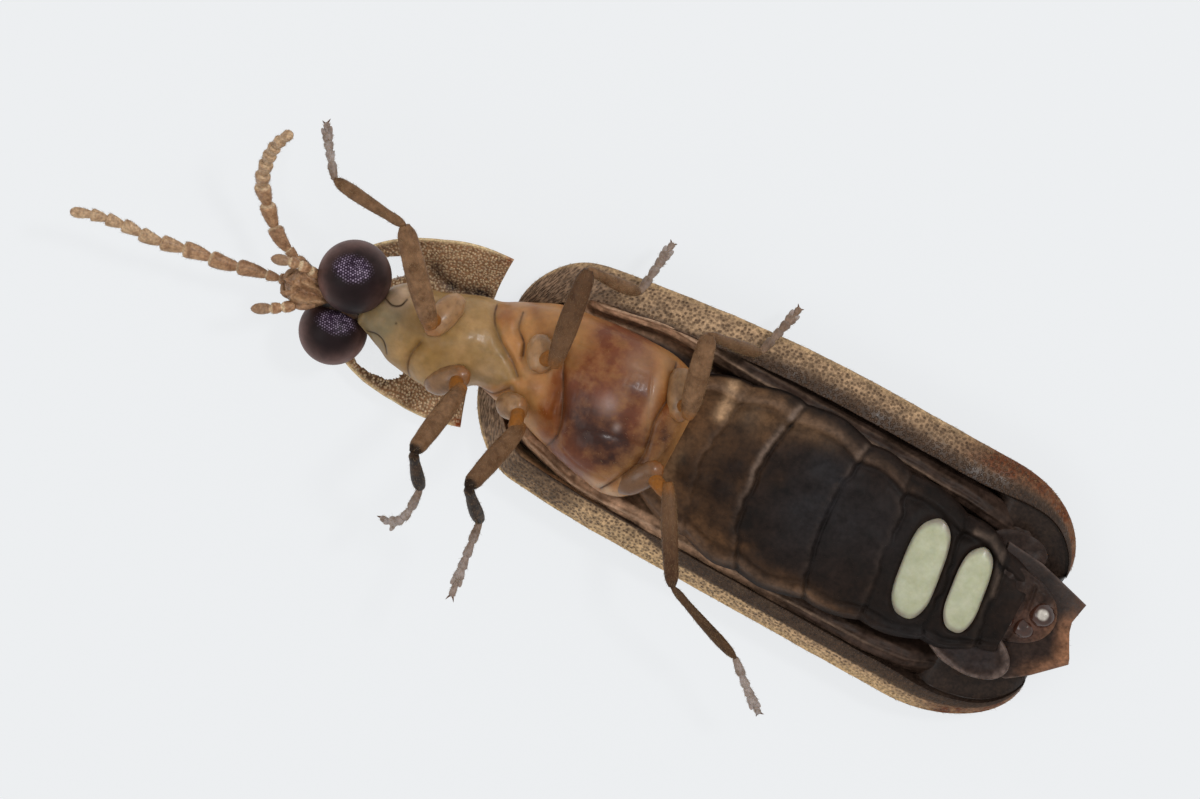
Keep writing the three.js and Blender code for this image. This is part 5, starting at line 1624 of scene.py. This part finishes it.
def leg(name, points):
    """Hip, small ring, thigh, shin, five foot joints, the fourth one two-lobed, and two bent claws."""
    hip, hip_tip, root, knee, ankle, toe = (np.array(point) for point in points)
    shin_tone, thigh_tone, hip_tone, toe_tone = LEG_TONES[name]
    thigh_radius, shin_radius = THICKNESS[name]
    hip_rings, along = leg_part(hip, hip_tip, HIP_RADIUS, HIP_PROFILE, 0.03, 70, 48, 0.8)
    hip_shape = closed_rings(hip_rings, {"hip": hip_tone, "amber": 0.5 * smooth((along - 0.75) / 0.2),
                                         "brown": 1.6 * max(0.5 - hip_tone, 0)})
    ring_start, ring_end = hip_tip * 0.7 + hip * 0.3, root * 0.86 + knee * 0.14
    ring_rings, _ = leg_part(ring_start, ring_end, RING_RADIUS, RING_PROFILE, 0.02, 28, 22, 0.95)
    thigh, along = leg_part(root, knee, thigh_radius, THIGH_PROFILE, 0.05, 70, 30, 0.84)
    thigh_masks = paints(LEG_PAINTS, shin=0.95 * shin_tone * smooth((along - 0.9) / 0.08),
                         amber=0.6 * (1 - smooth(along / 0.16)),
                         brown=thigh_tone * (0.5 + 0.5 * smooth((along - 0.3) / 0.5)))
    shin, _ = leg_part(knee, ankle, shin_radius, SHIN_PROFILE, 0.04, 64, 26, 0.9)

    share, radius, local = jointed(FOOT_JOINTS, [FOOT_RADIUS * size for size in FOOT_SIZES], FOOT_PROFILE, 16)
    way = unit(toe - ankle)
    spread = unit(np.cross((0, 0, 1), way))
    upward = np.cross(way, spread)
    bend = 0.06 * upward + np.array(FOOT_BENDS.get(name, (0, 0, 0)))
    share = share[:, None]
    path = ankle + (toe - ankle) * share * 0.94 + bend * np.sin(np.pi * share)
    foot = tube_rings(path, radius, 20, 0.8)
    foot_masks = paints(LEG_PAINTS, toe=toe_tone * (0.55 + 0.45 * smooth(share / 0.4)),
                        shin=0.4 * smooth((local[:, None] - 0.2) / 0.4) * (1 - smooth((share - 0.6) / 0.3)))
    lobe_start, claw_start = path[int(len(path) * 0.7)], path[-1] - way * 0.03
    limb = [
        closed_rings(ring_rings, paints(LEG_PAINTS, amber=0.9)),
        closed_rings(thigh, thigh_masks),
        closed_rings(shin, paints(LEG_PAINTS, shin=shin_tone, brown=0.1 + 0.5 * shin_tone)),
        closed_rings(foot, foot_masks),
        *(foot_lobe(lobe_start, way, spread * sign) for sign in SIGNS.values()),
    ]
    claws = [claw(claw_start, way, spread * sign, -upward) for sign in SIGNS.values()]
    piece(f"{name}_limb", joined(limb), LEG_HORN, (name,))
    piece(f"{name}_hip", hip_shape, HIP_HORN, (name,))
    piece(f"{name}_claws", joined(claws), CLAW_HORN)
    rng = np.random.default_rng(91)
    haired = (hip_rings, ring_rings, thigh, shin, foot)
    counts = (80, 40, 800, int(900 - 600 * shin_tone), 500)
    roots = [scatter(rings, count, rng, tile=(k / 5, (k + 1) / 5))
             for k, (rings, count) in enumerate(zip(haired, counts))]
    bristles(f"{name}_hair", all_roots(roots), HAIR,
             length=0.045, radius=0.0015, slant=20, seed=14)


# Stage: floor, light and camera

def camera_ways():
    """The camera's right, up and back: tilted off the upright and rolled, by their sines and
    cosines."""
    c, s = np.cos(np.radians(CAMERA_ROLL)), np.sin(np.radians(CAMERA_ROLL))
    ct, st = np.cos(np.radians(CAMERA_TILT)), np.sin(np.radians(CAMERA_TILT))
    return (-c, -s * ct, -s * st), (s, -c * ct, -c * st), (0, -st, ct)


def camera():
    """A camera that looks along its own way at the aim, from its distance."""
    data = bpy.data.cameras.new("camera")
    data.sensor_width = SENSOR
    data.lens = SENSOR * CAMERA_DISTANCE / FRAME_WIDTH
    data.clip_start = 0.001
    data.clip_end = 10
    thing = bpy.data.objects.new("camera", data)
    ways = camera_ways()
    place = (CAMERA_AIM + CAMERA_DISTANCE * np.array(ways[2])) * MM
    thing.matrix_world = Matrix.Translation(place.tolist()) @ Matrix(ways).transposed().to_4x4()
    bpy.context.scene.collection.objects.link(thing)
    bpy.context.scene.camera = thing


def floor():
    """A wide pale sheet under the beetle, from a grid of two parameters. It is lit a little from
    below, like opal glass, so that shadows stay soft and thin edges shine."""
    reach = np.linspace(-FLOOR_REACH, FLOOR_REACH, 5)
    points = stack(reach[:, None], reach[None], 0.0).reshape(-1, 3)
    mesh = bpy.data.meshes.new("floor")
    mesh.from_pydata(points, [], grid_quads(5, 5, False)[:, ::-1].tolist())
    material = bpy.data.materials.new("opal_glass_sheet")
    material.use_nodes = True
    shader = material.node_tree.nodes["Principled BSDF"]
    shader.inputs["Base Color"].default_value = colour("#5a5b5c")
    shader.inputs["Roughness"].default_value = 0.9
    shader.inputs["Specular IOR Level"].default_value = 0.0
    shader.inputs["Emission Color"].default_value = colour("#f3f5f7")
    shader.inputs["Emission Strength"].default_value = FLOOR_GLOW
    mesh.materials.append(material)
    thing = bpy.data.objects.new("floor", mesh)
    bpy.context.scene.collection.objects.link(thing)


def softbox(name, place, size, power):
    """A round area lamp, in millimetres, that faces the beetle."""
    data = bpy.data.lights.new(name, "AREA")
    data.shape = "DISK"
    data.size = size * MM
    data.energy = power
    thing = bpy.data.objects.new(name, data)
    back = unit(np.array(place, dtype=float))
    right = unit(np.cross((0.1, 1, 0), back))
    rotation = Matrix((right.tolist(), np.cross(back, right).tolist(), back.tolist())).transposed()
    thing.matrix_world = Matrix.Translation((np.array(place) * MM).tolist()) @ rotation.to_4x4()
    bpy.context.scene.collection.objects.link(thing)


def light():
    """An even white surround and two soft lamps."""
    world = bpy.data.worlds.new("white_tent")
    world.use_nodes = True
    world.node_tree.nodes["Background"].inputs["Color"].default_value = colour("#fbfbfa")
    world.node_tree.nodes["Background"].inputs["Strength"].default_value = SKY_STRENGTH
    bpy.context.scene.world = world
    for name, plan in SOFTBOXES.items():
        softbox(name, *plan)
    bpy.context.scene.view_settings.view_transform = "Standard"


camera()
floor()
light()
for side in SIGNS:
    wing_case(side)
    folded_wing(side)
    shield_pane(side)
    eye(side)
scutellum()
neck_shield()
breast_skin()
belly_plates()
for organ_name, organ_plan in ORGANS.items():
    light_organ(organ_name, organ_plan)
tail()
face()
for limb_name, limb_route in FEELERS.items():
    feeler(limb_name, limb_route)
for limb_name, limb_route in PALPS.items():
    palp(limb_name, limb_route)
for limb_name, limb_points in LEGS.items():
    leg(limb_name, limb_points)
